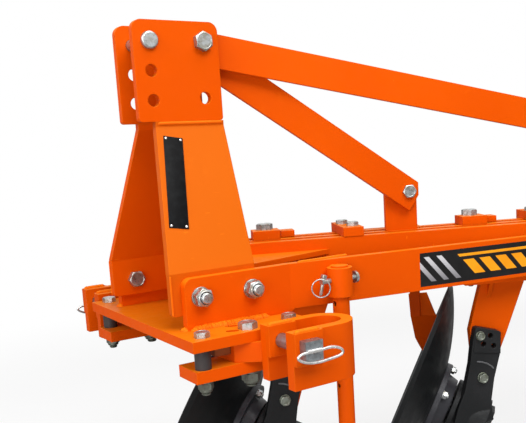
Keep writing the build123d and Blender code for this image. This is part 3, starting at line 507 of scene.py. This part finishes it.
def threaded(diameter, length):
    """Bolt's end with its thread, from z = 0 up."""
    outer = diameter / 2
    root = outer - THREAD_DEPTH
    profile = [(0, 0), (outer, 0)]
    height = THREAD_LEAD
    while height + THREAD_PITCH < length - THREAD_TAIL:
        profile.append((outer, height))
        profile.append((root, height + THREAD_PITCH / 2))
        profile.append((outer, height + THREAD_CREST))
        height += THREAD_PITCH
    profile += [(outer, length - BOLT_CHAMFER), (outer - BOLT_CHAMFER, length), (0, length)]
    return lathe(profile)


def head(piece, origin, axis, flats, height, turn, washer_size=None):
    """Bolt head standing on origin; a washer under it is given by its diameter and thickness."""
    if washer_size:
        across, thick = washer_size
        piece.add(washer(across / 2, flats / 4, thick), place(origin, axis))
        origin = origin + axis.normalized() * thick * MM
    piece.add(hexagon(flats, height), place(origin, axis, turn))


def locking_collar(piece, inserts, matrix, size, flats, height):
    """Collar on top of a nut, with its nylon ring in a piece of its own."""
    outer, inner = COLLAR_R * flats, size / 2 + 0.4
    profile = (
        (inner, height - 1),
        (outer, height - 1),
        (outer, height + 3.2),
        (outer - COLLAR_EDGE, height + 4.8),
        (inner + COLLAR_EDGE, height + 4.8),
        (inner, height + 3.4),
    )
    piece.add(lathe(profile, RING_SEGMENTS, closed=True), matrix)
    low, high = height, height + 4.0
    bore, rim = size / 2 - 0.3, inner + 0.6
    ring = ((bore, low), (rim, low), (rim, high), (bore, high))
    inserts.add(lathe(ring, RING_SEGMENTS, closed=True), matrix)


def nut(piece, origin, axis, size, flats, turn, tail, washer_size, inserts=None):
    """Nut and washer on origin, with the bolt's end through them; inserts makes it a locking nut."""
    across, thick = washer_size
    piece.add(washer(across / 2, size / 2, thick), place(origin, axis))
    origin = origin + axis.normalized() * thick * MM
    top = NUT_HEIGHT * size
    piece.add(hexagon(flats, top, low_chamfer=True, dish=0.0), place(origin, axis, turn))
    if inserts:
        locking_collar(piece, inserts, place(origin, axis), size, flats, top)
        top += COLLAR_HEIGHT
    piece.add(threaded(size, top + tail), place(origin, axis))


def finish(*pieces):
    for piece in pieces:
        piece.done()


# ---------------------------------------------------------------- base plate and lower hitch
HITCH_BOLTS = (
    # x, off the middle, thread, flats, head height
    (33.0, 255.0, 18.0, 27.0, 11.5),
    (133.0, 255.0, 22.0, 34.0, 14.0),
    (236.0, 243.0, 18.0, 27.0, 11.5),
)
BAR_UNDER = -86.0                 # lower faces of the hitch bars
SIDE_OUT, SIDE_IN = 190.0, 154.0  # faces of a side plate and the mast side bolted to it
SIDE_BOLTS = ((67.0, 65.5, 12.0), (184.0, 64.8, 40.0))     # x, height, turn
SIDE_BOLT_D, SIDE_FLATS, SIDE_HEAD = 22.0, 34.0, 14.0
SIDE_WASHER = (40.0, 4.0)         # diameter, thickness
SIDE_HEAD_DROP = 2.0
TAIL = 7.0                        # bolt's end past its nut
PACKING_X, PACKING_OFF, PACKING_Z = (60.0, 94.5), (215.0, 250.0), (-46.0, -22.2)
PACKING_EDGE = 1.2


def hitch_bar_bolts():
    heads = Piece("base_plate_bolt_heads", zinc)
    nuts = Piece("hitch_bar_nuts", dull_zinc)
    inserts = Piece("hitch_bar_nut_inserts", nylon)
    for hand in BOTH_HANDS:
        for x, off, size, flats, high in HITCH_BOLTS:
            turn = random.uniform(0, 60)
            head(heads, at_home(x, hand * off, 0), UP, flats, high, turn)
            under = at_home(x, hand * off, BAR_UNDER)
            nut(nuts, under, -UP, size, flats, turn + 20, TAIL, (flats + 5, 2.5), inserts)
    finish(heads, nuts, inserts)


def side_plate_bolts():
    nuts = Piece("side_plate_nuts", zinc)
    inserts = Piece("side_plate_nut_inserts", nylon)
    heads = Piece("side_plate_bolt_heads", zinc)
    for hand in BOTH_HANDS:
        out = Vector((0, hand, 0))
        for x, z, turn in SIDE_BOLTS:
            face = at_home(x, hand * SIDE_OUT, z)
            nut(nuts, face, out, SIDE_BOLT_D, SIDE_FLATS, turn, TAIL, SIDE_WASHER, inserts)
            back = at_home(x, hand * SIDE_IN, z - SIDE_HEAD_DROP)
            head(heads, back, -out, SIDE_FLATS, SIDE_HEAD, turn + 18)
    finish(nuts, inserts, heads)


def packing_blocks():
    packing = Piece("base_plate_packing", packing_brown, slot="orange_paint", crease=30)
    for hand in BOTH_HANDS:
        near, far = sorted(hand * off for off in PACKING_OFF)
        corners = zip(PACKING_X, (near, far), PACKING_Z)
        packing.add(block(*corners, soft=PACKING_EDGE), Matrix.Translation(HOME) @ IN_MM)
    packing.done()


hitch_bar_bolts()
side_plate_bolts()
packing_blocks()

# ---------------------------------------------------------------- mast head
TOP_BOLT = (178.0, 578.0)         # x, height
TOP_BOLT_D, TOP_FLATS, TOP_HEAD, TOP_WASHER = 24.0, 36.0, 15.0, (44.0, 4.0)
CLEVIS_OUT = 55.0                 # outer faces of the clevis plates
POST_BOLTS = (
    # along the beam, height, off at the head, off at the nut, turn of the head, turn of the nut
    (401, 227, 36, 70, 8.0, 10.0),
    (1307, 276, 54, 91, 16.0, 25.0),
)
POST_BOLT_D, POST_FLATS, POST_HEAD, POST_WASHER = 20.0, 30.0, 12.5, (37.0, 3.0)


def mast_bolts():
    """Bolt through clevis plates and stays, and a bolt through each post."""
    bolts = Piece("mast_bolts", zinc)
    x, z = TOP_BOLT
    left, right = at_home(x, -CLEVIS_OUT, z), at_home(x, CLEVIS_OUT, z)
    head(bolts, left, LEFT, TOP_FLATS, TOP_HEAD, turn=4.0)
    nut(bolts, right, RIGHT, TOP_BOLT_D, TOP_FLATS, 20.0, tail=9.0, washer_size=TOP_WASHER)
    low, high, radius = -1, 2 * CLEVIS_OUT + 1, TOP_BOLT_D / 2
    bolts.add(lathe(((0, low), (radius, low), (radius, high), (0, high))), place(left, RIGHT))
    for along, z, head_off, nut_off, head_turn, nut_turn in POST_BOLTS:
        head(bolts, at_beam(along, head_off, z), -beam_off, POST_FLATS, POST_HEAD, head_turn)
        end = at_beam(along, nut_off, z)
        nut(bolts, end, beam_off, POST_BOLT_D, POST_FLATS, nut_turn, 8.0, POST_WASHER)
    bolts.done()


mast_bolts()

# ---------------------------------------------------------------- beam clamps
FURROW_PITCH = 509.5
CLAMP_TOP, CLAMP_UNDER = 152.0, -16.0
CLAMP_BOLTS = (45.0, 577.0, 1082.0)                        # along the beam
CLAMP_BOLT_OFF = 87.5
CLAMP_FLATS, CLAMP_HEAD = 36.0, 15.0
CLAMP_NUT_D, CLAMP_NUT_FLATS, CLAMP_WASHER = 15.0, 23.0, (28.0, 2.5)
SCRAPER_CLAMP_BOLTS = ((255.0, 37.5), (241.0, 95.0))       # along the beam, off its left face
SCRAPER_FLATS, SCRAPER_HEAD = 27.0, 10.0


def clamp_bolts():
    heads = Piece("beam_clamp_bolts", zinc)
    nuts = Piece("beam_clamp_nuts", dull_zinc)
    for index, along in enumerate(CLAMP_BOLTS):
        top = at_beam(along, CLAMP_BOLT_OFF, CLAMP_TOP)
        head(heads, top, UP, CLAMP_FLATS, CLAMP_HEAD, 11.0 + 17 * index)
        under = at_beam(along, CLAMP_BOLT_OFF, CLAMP_UNDER)
        nut(nuts, under, -UP, CLAMP_NUT_D, CLAMP_NUT_FLATS, 5.0 + 9 * index, 5.0, CLAMP_WASHER)
    for index in range(2):
        for along, off in SCRAPER_CLAMP_BOLTS:
            spot = at_beam(along + FURROW_PITCH * index, off, CLAMP_TOP)
            head(heads, spot, UP, SCRAPER_FLATS, SCRAPER_HEAD, 21.0 * index + off)
    finish(heads, nuts)


clamp_bolts()

# ---------------------------------------------------------------- hub brackets and discs
FURROWS = (1, 2, 3)
STANDARD_ALONG = 62.5
CHEEK_OFF = -2.0                  # left face of a hub bracket, off the beam's left face
CHEEK_PAD_OFF = -5.0
CHEEK_BACK = 40.0                 # where the nuts of its bolts sit
CHEEK_BOLTS = (
    # along, height, off the beam's left face, flats, head height
    (-9.0, -146.5, CHEEK_PAD_OFF, 19.0, 8.0),
    (-4.0, -257.0, CHEEK_OFF, 22.5, 10.0),
)
RIDGE = ((-18, -214), (-6, -216), (8, -221), (20, -229), (26, -236))       # along, height
RIDGE_R = 2.2

DISC_HOME = (244.7, 161.1, -302.0)                         # the first disc's rim centre
DISC_ANGLE = math.radians(47.5)
DISC_TILT = math.radians(23.6)
DISC_DISH = 70.0
FLANGE_BACK = 90.2                # from the rim's plane to the hub flange's far face
HUB_BOLTS = 5
HUB_BOLTS_R = 92.0
HUB_BOLT_D, HUB_BOLT_FLATS, HUB_WASHER = 12.0, 18.0, (24.0, 2.0)
HUB_BOLT_PHASE = {1: 15, 2: 33, 3: 15}
CAP_PROFILE = ((0, -1), (12.5, -1), (12.5, 0.8), (10, 3.6), (5, 5.6), (0, 6.2))     # radius, height
axle_dir = Vector((
    math.cos(DISC_TILT) * math.cos(DISC_ANGLE),
    -math.cos(DISC_TILT) * math.sin(DISC_ANGLE),
    -math.sin(DISC_TILT),
))


def hub_bracket_trim(number):
    """Bolts through a hub bracket and the ridge cast on its left face."""
    start = STANDARD_ALONG + (number - 1) * FURROW_PITCH
    bolts = Piece(f"cheek_bolts_{number}", olive_zinc)
    for along, z, off, flats, high in CHEEK_BOLTS:
        left, right = at_beam(start + along, off, z), at_beam(start + along, CHEEK_BACK, z)
        washer_size = (flats + 5, 2.0)
        head(bolts, left, -beam_off, flats, high, random.uniform(0, 60), washer_size)
        nut(bolts, right, beam_off, flats * 0.65, flats, 10, 6.0, washer_size)
    bolts.done()
    ridge = Piece(f"cheek_ridge_{number}", ridge_black, slot="black_paint")
    path = [at_beam(start + along, CHEEK_OFF, z) / MM for along, z in RIDGE]
    ridge.add(tube(path, RIDGE_R, segments=10), IN_MM)
    ridge.done()


def disc_bolts(number):
    """Bolts of a disc: nuts on the hub's flange, round caps on the hollow side."""
    centre = at_home(*DISC_HOME) + beam_dir * (number - 1) * FURROW_PITCH * MM
    across = axle_dir.cross(UP).normalized()
    upward = across.cross(axle_dir).normalized()
    studs = Piece(f"disc_bolts_{number}", zinc, f"disc_unit_{number}")
    for step in range(HUB_BOLTS):
        turn = math.radians(360 / HUB_BOLTS * step + HUB_BOLT_PHASE[number])
        spot = centre + (across * math.cos(turn) + upward * math.sin(turn)) * HUB_BOLTS_R * MM
        flange = spot + axle_dir * FLANGE_BACK * MM
        nut(studs, flange, axle_dir, HUB_BOLT_D, HUB_BOLT_FLATS, 15 * step, 5.0, HUB_WASHER)
        studs.add(lathe(CAP_PROFILE, 28), place(spot + axle_dir * DISC_DISH * MM, -axle_dir))
    studs.done()


for furrow in FURROWS:
    hub_bracket_trim(furrow)
    disc_bolts(furrow)

# ---------------------------------------------------------------- parking stand's pin
CLIP_SEAT = 4.6                   # from the stand pin's front end
CLIP_LEAN = 16.0
CLIP_STEM = ((0, -30), (2.2, -29), (3.8, -26), (3.8, 8), (0, 8))           # radius, height
CLIP_EYE = ((-5.5, -5.5, 7), (5.5, 5.5, 16))
RING_FROM_STEM = Vector((-8.4, -4.0, -12.0))
RING_TURN = -35.0
RING_R, RING_WIRE_R = 19.5, 1.5


def stand_pin_clip():
    """Linch pin through the stand pin's front end, with its ring hanging beside it."""
    pin_low, pin_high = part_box("stand_pin")
    pin_mid = (pin_low + pin_high) / 2
    seat = Vector((pin_low.x + CLIP_SEAT * MM, pin_mid.y, pin_mid.z))
    clip = Piece("stand_pin_clip", zinc)
    leaned = Matrix.Translation(seat) @ Matrix.Rotation(math.radians(CLIP_LEAN), 4, "Y") @ IN_MM
    clip.add(lathe(CLIP_STEM, 20), leaned)
    clip.add(block(*CLIP_EYE, soft=2.0), leaned)
    hung = Matrix.Translation(seat + RING_FROM_STEM * MM)
    turned = hung @ Matrix.Rotation(math.radians(RING_TURN), 4, "Z") @ IN_MM
    ring = [(RING_R * math.cos(a), 0, RING_R * math.sin(a)) for a in round_angles(56)]
    clip.add(tube(ring, RING_WIRE_R, closed=True, segments=10), turned)
    clip.done()


stand_pin_clip()

# ---------------------------------------------------------------- wire clips of the lower pins
WIRE = (
    # x and height of the bent wire's corners on the left pin
    (128, -23), (132, -29), (143, -35), (160, -39), (180, -40), (203, -38), (222, -36),
    (229, -31), (225, -24), (212, -18), (197, -16), (180, -18), (155, -18), (138, -18),
)
WIRE_PIN_X = 167.0                # x of the pin's middle among those corners
WIRE_R = 2.8
WIRE_OUT = 2.6                    # off the pin block's outer face
WIRE_DROP = {"left": 0.0, "right": -18.0}
SLEEVE_X = (-17.0, 13.0)          # the sleeve's ends, from the pin's middle
SLEEVE_Z = -17.5
SLEEVE_OUT = 1.5
SLEEVE_R = 4.2


def pin_wire(name, hand, pin_box):
    """Closed wire loop on a lower pin's end, with a sleeve on its upper run."""
    low, high = pin_box
    outer = (low.y if hand < 0 else high.y) / MM
    middle = (low.x + high.x) / 2 / MM
    level = HOME.z / MM + WIRE_DROP[name]
    wire = Piece(f"lower_pin_wire_{name}", bright_zinc)
    path = [(middle + x - WIRE_PIN_X, outer + hand * WIRE_OUT, level + z) for x, z in smooth_loop(WIRE)]
    wire.add(tube(path, WIRE_R, closed=True), IN_MM)
    ends = [(middle + x, outer + hand * SLEEVE_OUT, level + SLEEVE_Z) for x in SLEEVE_X]
    wire.add(tube(ends, SLEEVE_R, segments=20), IN_MM)
    wire.done()


pin_wire("left", -1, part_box("hitch_pin_left"))
pin_wire("right", 1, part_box("hitch_pin_right"))

# ---------------------------------------------------------------- weld beads
BEAD_STEP = 1.1                   # length of one ring
BEAD_RIPPLE = 3.4                 # length of one ripple
BEAD_END = 0.45                   # size at the tapered ends, as a share
BEAD_TAPER = 1.5                  # length over which a full size is gained, in radii
BEAD_WAVE, BEAD_JITTER = 0.20, 0.06                        # ripples and chance in the size, as shares
BEAD_SWAY, BEAD_SWAY_LENGTH = 0.06, 13.0                   # slow drift to the side: radii, length
BEAD_SHAKE = 0.12                 # chance in the drift
STRAP_FRONT = {-1: 138.0, 1: 20.0}                         # x of the strap's front, by hand
MIRRORED_WELDS = (
    # x counts from, x from and to, off the middle from and to, height from and to, radius, ripple
    ("home", (40, 221), (190, 190), (-4, -4), 13.0, 4.6),          # foot of the side plate
    ("home", (33, 33), (191, 169), (-2, -2), 10.0, BEAD_RIPPLE),   # its front end
    ("strap", (4, 58), (413, 413), (14, 14), 6.0, BEAD_RIPPLE),    # top of the strap's outer pad
    ("strap", (4, 58), (319, 319), (14, 14), 6.0, BEAD_RIPPLE),    # top of its inner pad
    ("strap", (4, 58), (413, 413), (-48, -48), 4.0, BEAD_RIPPLE),  # foot of its outer pad
    ("home", (66, 214), (54, 54), (411, 411), 4.2, BEAD_RIPPLE),   # under the clevis plate
    ("home", (14, 14), (171, 171), (30, 111), 2.2, BEAD_RIPPLE),   # front edge of the mast side
)
PLATE_TOP_WELD = ((300, -189, 104), (430, -190, 104), 4.0)         # start, end, radius
SLEEVE_BEADS = (-13.0, 13.0)      # along the plate, from the sleeve's middle
SLEEVE_FOOT, SLEEVE_HEAD, SLEEVE_TOP = 29.0, 86.0, 88.0    # the upright beads, the level bead
SLEEVE_BEAD_OUT, SLEEVE_BEAD_R = 2.0, 4.5


def bead(piece, start, end, size, ripple=BEAD_RIPPLE):
    """Weld bead from start to end, in metres, laid in ripples with tapered ends."""
    length = (end - start).length / MM
    steps = max(8, int(length / BEAD_STEP))
    points, scale = [], []
    phase = random.random() * ripple
    side = (end - start).normalized().cross(UP)
    for step in range(steps + 1):
        share = step / steps
        distance = share * length
        wave = abs(math.sin(math.pi * (distance + phase) / ripple))
        nearer_end = min(distance, length - distance)
        taper = min(1.0, BEAD_END + nearer_end / (BEAD_TAPER * size))
        chance = random.uniform(-BEAD_JITTER, BEAD_JITTER)
        scale.append(taper * (1 - BEAD_WAVE + BEAD_WAVE * wave + chance))
        sway = math.sin(distance / BEAD_SWAY_LENGTH + phase) * BEAD_SWAY * size
        drift = sway + random.uniform(-BEAD_SHAKE, BEAD_SHAKE)
        points.append((start.lerp(end, share) + side * drift * MM) / MM)
    piece.add(tube(points, size, segments=14, wobble=scale), IN_MM)


def sleeve_welds(welds):
    """Beads up both sides of the stand's sleeve and across its top, on the left side plate."""
    sleeve_low, sleeve_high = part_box("stand_sleeve")
    middle = ((sleeve_low + sleeve_high) / 2 - at_plate(0, 0, 0)).dot(plate_dir) / MM
    first, last = [middle + reach for reach in SLEEVE_BEADS]
    runs = (
        # along and height of the start, along and height of the end
        (first, SLEEVE_FOOT, first, SLEEVE_HEAD),
        (last, SLEEVE_FOOT, last, SLEEVE_HEAD),
        (first, SLEEVE_TOP, last, SLEEVE_TOP),
    )
    for start, low, end, high in runs:
        foot, top = at_plate(start, SLEEVE_BEAD_OUT, low), at_plate(end, SLEEVE_BEAD_OUT, high)
        bead(welds, foot, top, SLEEVE_BEAD_R)


def weld_beads():
    welds = Piece("weld_beads", weld_orange, slot="orange_paint", crease=70)
    for hand in BOTH_HANDS:
        datum = {"home": 0.0, "strap": STRAP_FRONT[hand]}
        for origin, xs, offs, heights, size, ripple in MIRRORED_WELDS:
            corners = zip(xs, offs, heights)
            start, end = [at_home(datum[origin] + x, hand * off, z) for x, off, z in corners]
            bead(welds, start, end, size, ripple)
    start, end, size = PLATE_TOP_WELD
    bead(welds, at_home(*start), at_home(*end), size)
    sleeve_welds(welds)
    welds.done()


weld_beads()

# ---------------------------------------------------------------- name plate, left blank
NAME_PLATE_LOW = (36.2, 95.5)     # lower front corner on the mast side: x, up the slope
NAME_PLATE_SIZE = (42.0, 200.0)
NAME_PLATE_Z = (0.05, 1.2)        # its faces, off the mast side
NAME_PLATE_LEAN = math.radians(-10.0)
RIVET_INSET = 5.0
RIVET_SEAT = 1.1
RIVET_PROFILE = ((0, 0), (2.8, 0), (2.6, 0.8), (1.6, 1.5), (0, 1.8))       # radius, height


def plate_paint():
    """Matt black print ground, without print."""
    made = Shader("name_plate_black")
    made.set("Base Color", made.patches(60.0, 4.0, colour(12, 12, 13), colour(21, 22, 23)))
    made.set_rough(90.0, 3.0, (0.34, 0.46))
    made.set("Specular IOR Level", 0.06)
    made.set("Normal", made.bump(made.noise(500.0, 2.0), 0.05, 0.0003))
    return made.material


def name_plate():
    """Plate on the left mast side, turned a little in its plane, and its four rivets."""
    x_axis = Vector((1, 0, 0))
    slope = Matrix((x_axis, MAST_SLANT, mast_out)).transposed().to_4x4()
    corner = Matrix.Translation((*NAME_PLATE_LOW, 0)) @ Matrix.Rotation(NAME_PLATE_LEAN, 4, "Z")
    matrix = Matrix.Translation(at_home(*MAST_FOOT)) @ slope @ IN_MM @ corner
    wide, tall = NAME_PLATE_SIZE
    back, face = NAME_PLATE_Z
    plate = Piece("name_plate_blank", plate_paint(), slot="black_paint")
    plate.add(block((0, 0, back), (wide, tall, face), 0.4), matrix)
    plate.done()
    rivets = Piece("name_plate_rivets", bright_zinc)
    for x in (RIVET_INSET, wide - RIVET_INSET):
        for up in (RIVET_INSET, tall - RIVET_INSET):
            rivets.add(lathe(RIVET_PROFILE, 20), matrix @ Matrix.Translation((x, up, RIVET_SEAT)))
    rivets.done()


name_plate()

# ---------------------------------------------------------------- painted band on the left plate
BAND_ALONG = (320.3, 880.0)
BAND_Z = (14.5, 93.0)
BAND_FACE, BAND_BACK = 0.25, 0.02                          # off the plate
# The design is in metres from the band's lower front corner: u along it, v up.
DESIGN_LEAN = 0.9                 # how far bars and blocks lean forward per height
BAR_PITCH, BAR, BARS_RUN, BARS_V = 0.034, (0.004, 0.018), (0.034, 0.136), (0.010, 0.0685)
BLOCK_PITCH, BLOCK, BLOCKS_RUN, BLOCKS_V = 0.046, (0.004, 0.034), (0.162, 0.528), (0.016, 0.052)
BLOCKS_START = 0.160
LINE_V = (0.060, 0.0665)
SILVER_V = (0.0, 0.078)           # the bars get lighter over this height
DESIGN_SOFT = 0.0006              # half the width of a painted edge


def band_paint():
    """Black band with slanted silver bars and a row of amber blocks with a line above."""
    made = Shader("left_plate_band")
    uv = made.parts(made.add("ShaderNodeUVMap").outputs[0])
    u, v = uv["X"], uv["Y"]

    def times(first, second):
        return made.math("MULTIPLY", first, second)

    def between(value, limits):
        low, high = limits
        rise = made.ramp(value, low - DESIGN_SOFT, low + DESIGN_SOFT)
        fall = made.ramp(value, high - DESIGN_SOFT, high + DESIGN_SOFT, 1.0, 0.0)
        return times(rise, fall)

    tone = made.patches(14.0, 4.0, colour(18, 17, 17), colour(26, 25, 25))
    leaned = made.math("ADD", u, times(v, DESIGN_LEAN))
    bars = between(made.math("MODULO", leaned, BAR_PITCH), BAR)
    bars = times(times(bars, between(leaned, BARS_RUN)), between(v, BARS_V))
    silver = made.mix(made.ramp(v, *SILVER_V), colour(120, 118, 122), colour(206, 205, 208))
    tone = made.mix(bars, tone, silver)
    run = between(leaned, BLOCKS_RUN)
    blocks = between(made.math("MODULO", made.math("SUBTRACT", leaned, BLOCKS_START), BLOCK_PITCH), BLOCK)
    blocks = times(times(blocks, run), between(v, BLOCKS_V))
    amber = made.patches(20.0, 3.0, colour(247, 160, 22), colour(238, 148, 14))
    tone = made.mix(blocks, tone, amber)
    tone = made.mix(times(between(v, LINE_V), run), tone, amber)
    made.set("Base Color", tone)
    made.set_rough(60.0, 3.0, (0.36, 0.46))
    made.set("Specular IOR Level", 0.25)
    made.set("Normal", made.bump(made.noise(300.0, 2.0), 0.04, 0.0003))
    return made.material


def painted_band():
    """Thin closed slab on the left side plate, mapped in metres."""
    (from_along, to_along), (from_z, to_z) = BAND_ALONG, BAND_Z
    corners = [(from_along, from_z), (to_along, from_z), (to_along, to_z), (from_along, to_z)]
    verts = [tuple(at_plate(along, out, z)) for out in (BAND_FACE, BAND_BACK) for along, z in corners]
    sides = [(a, a + 4, b + 4, b) for a, b in ((0, 1), (1, 2), (2, 3), (3, 0))]
    mesh = bpy.data.meshes.new("left_plate_band")
    mesh.from_pydata(verts, [], [(0, 1, 2, 3), (7, 6, 5, 4), *sides])
    layer = mesh.uv_layers.new(name="UVMap")
    for loop in mesh.loops:
        along, z = corners[loop.vertex_index % 4]
        layer.data[loop.index].uv = ((along - from_along) * MM, (z - from_z) * MM)
    mesh.materials.append(band_paint())
    band = bpy.data.objects.new("left_plate_band", mesh)
    bpy.context.scene.collection.objects.link(band)
    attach(band, "frame")


painted_band()

# ---------------------------------------------------------------- floor, background and light
# Places and sizes here are metres, powers are watts.
FLOOR_HALF = 30.0
FLOOR_Z = -0.0005
WHITE = (1, 1, 1, 1)
FLOOR_GREY = (0.42, 0.42, 0.42, 1)                         # what the floor throws back
FLOOR_PALE = ((0.95, 0.95, 0.95, 1), (0.92, 0.92, 0.92, 1))        # what the camera sees of it
FLOOR_FADE, FLOOR_GLOW = (1.4, 3.2), (0.66, 1.0)           # distances, and share of plain white there
AMBIENT_COLOUR = (1.0, 0.99, 0.98, 1)
AMBIENT_LEVEL = 0.19
TARGET = (-0.4, -0.1, 0.6)
SOFTBOXES = (
    # name, place, target, size, power
    ("key_softbox", (-0.9, -2.6, 3.2), TARGET, (2.6, 1.6), 97),
    ("top_softbox", (0.0, -0.6, 4.2), TARGET, (3.0, 3.0), 98),
    ("front_softbox", (-4.2, -0.4, 2.6), TARGET, (2.4, 2.4), 92),
    ("low_softbox", (-3.2, -2.4, 0.8), (-0.2, 0.0, 0.4), (2.0, 0.9), 34),
)


def floor_material():
    """White to the camera apart from the shadow, greyer for the light that it throws back."""
    made = Shader("studio_floor")
    seen = made.add("ShaderNodeLightPath").outputs["Is Camera Ray"]
    wander = made.ramp(made.noise(1.4, 3.0), 0.3, 0.7)
    pale = made.mix(wander, *FLOOR_PALE)
    made.set("Base Color", made.mix(seen, FLOOR_GREY, pale))
    made.set_rough(6.0, 3.0, (0.7, 0.8))
    made.set("Specular IOR Level", 0.1)
    glow = made.add("ShaderNodeEmission")
    glow.inputs["Color"].default_value = WHITE
    length = made.add("ShaderNodeVectorMath", operation="LENGTH")
    made.link(made.place, length.inputs[0])
    far = made.ramp(length.outputs["Value"], *FLOOR_FADE, *FLOOR_GLOW)
    blend = made.add("ShaderNodeMixShader")
    made.link(made.math("MULTIPLY", seen, far), blend.inputs[0])
    made.link(made.surface.outputs[0], blend.inputs[1])
    made.link(glow.outputs[0], blend.inputs[2])
    made.link(blend.outputs[0], made.output.inputs[0])
    return made.material


def studio_floor():
    corners = [(x * FLOOR_HALF, y * FLOOR_HALF, FLOOR_Z) for x, y in ((-1, -1), (1, -1), (1, 1), (-1, 1))]
    mesh = bpy.data.meshes.new("studio_floor")
    mesh.from_pydata(corners, [], [(0, 1, 2, 3)])
    mesh.materials.append(floor_material())
    floor = bpy.data.objects.new("studio_floor", mesh)
    bpy.context.scene.collection.objects.link(floor)


def studio_world():
    """Weak even light on the object; white where camera, gloss and glass look past it."""
    world = bpy.data.worlds.new("studio")
    bpy.context.scene.world = world
    world.use_nodes = True
    tree = world.node_tree
    tree.nodes.clear()
    blend = tree.nodes.new("ShaderNodeMixShader")
    backgrounds = ((AMBIENT_COLOUR, AMBIENT_LEVEL), (WHITE, 1.0))
    for socket, (tint, level) in enumerate(backgrounds, start=1):
        background = tree.nodes.new("ShaderNodeBackground")
        background.inputs["Color"].default_value = tint
        background.inputs["Strength"].default_value = level
        tree.links.new(background.outputs[0], blend.inputs[socket])
    rays = tree.nodes.new("ShaderNodeLightPath")
    seen = rays.outputs["Is Camera Ray"]
    for kind in ("Is Glossy Ray", "Is Transmission Ray"):
        either = tree.nodes.new("ShaderNodeMath")
        either.operation = "MAXIMUM"
        tree.links.new(seen, either.inputs[0])
        tree.links.new(rays.outputs[kind], either.inputs[1])
        seen = either.outputs[0]
    tree.links.new(seen, blend.inputs[0])
    output = tree.nodes.new("ShaderNodeOutputWorld")
    tree.links.new(blend.outputs[0], output.inputs[0])


def softbox(name, origin, target, size, power):
    lamp = bpy.data.lights.new(name, "AREA")
    lamp.shape = "RECTANGLE"
    lamp.size, lamp.size_y = size
    lamp.energy = power
    made = bpy.data.objects.new(name, lamp)
    way = Vector(target) - Vector(origin)
    made.matrix_world = Matrix.Translation(origin) @ way.to_track_quat("-Z", "Y").to_matrix().to_4x4()
    bpy.context.scene.collection.objects.link(made)


studio_floor()
studio_world()
for box in SOFTBOXES:
    softbox(*box)

# ---------------------------------------------------------------- camera, fitted to the photo
CAMERA_AT = (-599.05, -1612.19, 355.06)                    # from home
CAMERA_TURN = math.radians(34.85)
CAMERA_PITCH = math.radians(-8.95)
CAMERA_ROLL = math.radians(-2.94)
SENSOR_WIDTH = 36.0
FOCAL_LENGTH = 54.15468
LENS_SHIFT = (-0.133232, 0.105703)                         # shares of the picture's width


def photo_camera():
    flat = Vector((math.sin(CAMERA_TURN), math.cos(CAMERA_TURN), 0))
    ahead = flat * math.cos(CAMERA_PITCH) + UP * math.sin(CAMERA_PITCH)
    level = Vector((math.cos(CAMERA_TURN), -math.sin(CAMERA_TURN), 0))
    over = level.cross(ahead)
    side = level * math.cos(CAMERA_ROLL) + over * math.sin(CAMERA_ROLL)
    top = over * math.cos(CAMERA_ROLL) - level * math.sin(CAMERA_ROLL)
    lens = bpy.data.cameras.new("camera")
    lens.sensor_width = SENSOR_WIDTH
    lens.sensor_fit = "HORIZONTAL"
    lens.lens = FOCAL_LENGTH
    lens.shift_x, lens.shift_y = LENS_SHIFT
    lens.clip_start = 0.05
    lens.clip_end = 200.0
    camera = bpy.data.objects.new("camera", lens)
    turned = Matrix((side, top, -ahead)).transposed().to_4x4()
    camera.matrix_world = Matrix.Translation(at_home(*CAMERA_AT)) @ turned
    bpy.context.scene.collection.objects.link(camera)
    bpy.context.scene.camera = camera


photo_camera()
bpy.context.scene.view_settings.view_transform = "Standard"

bpy.context.view_layer.update()
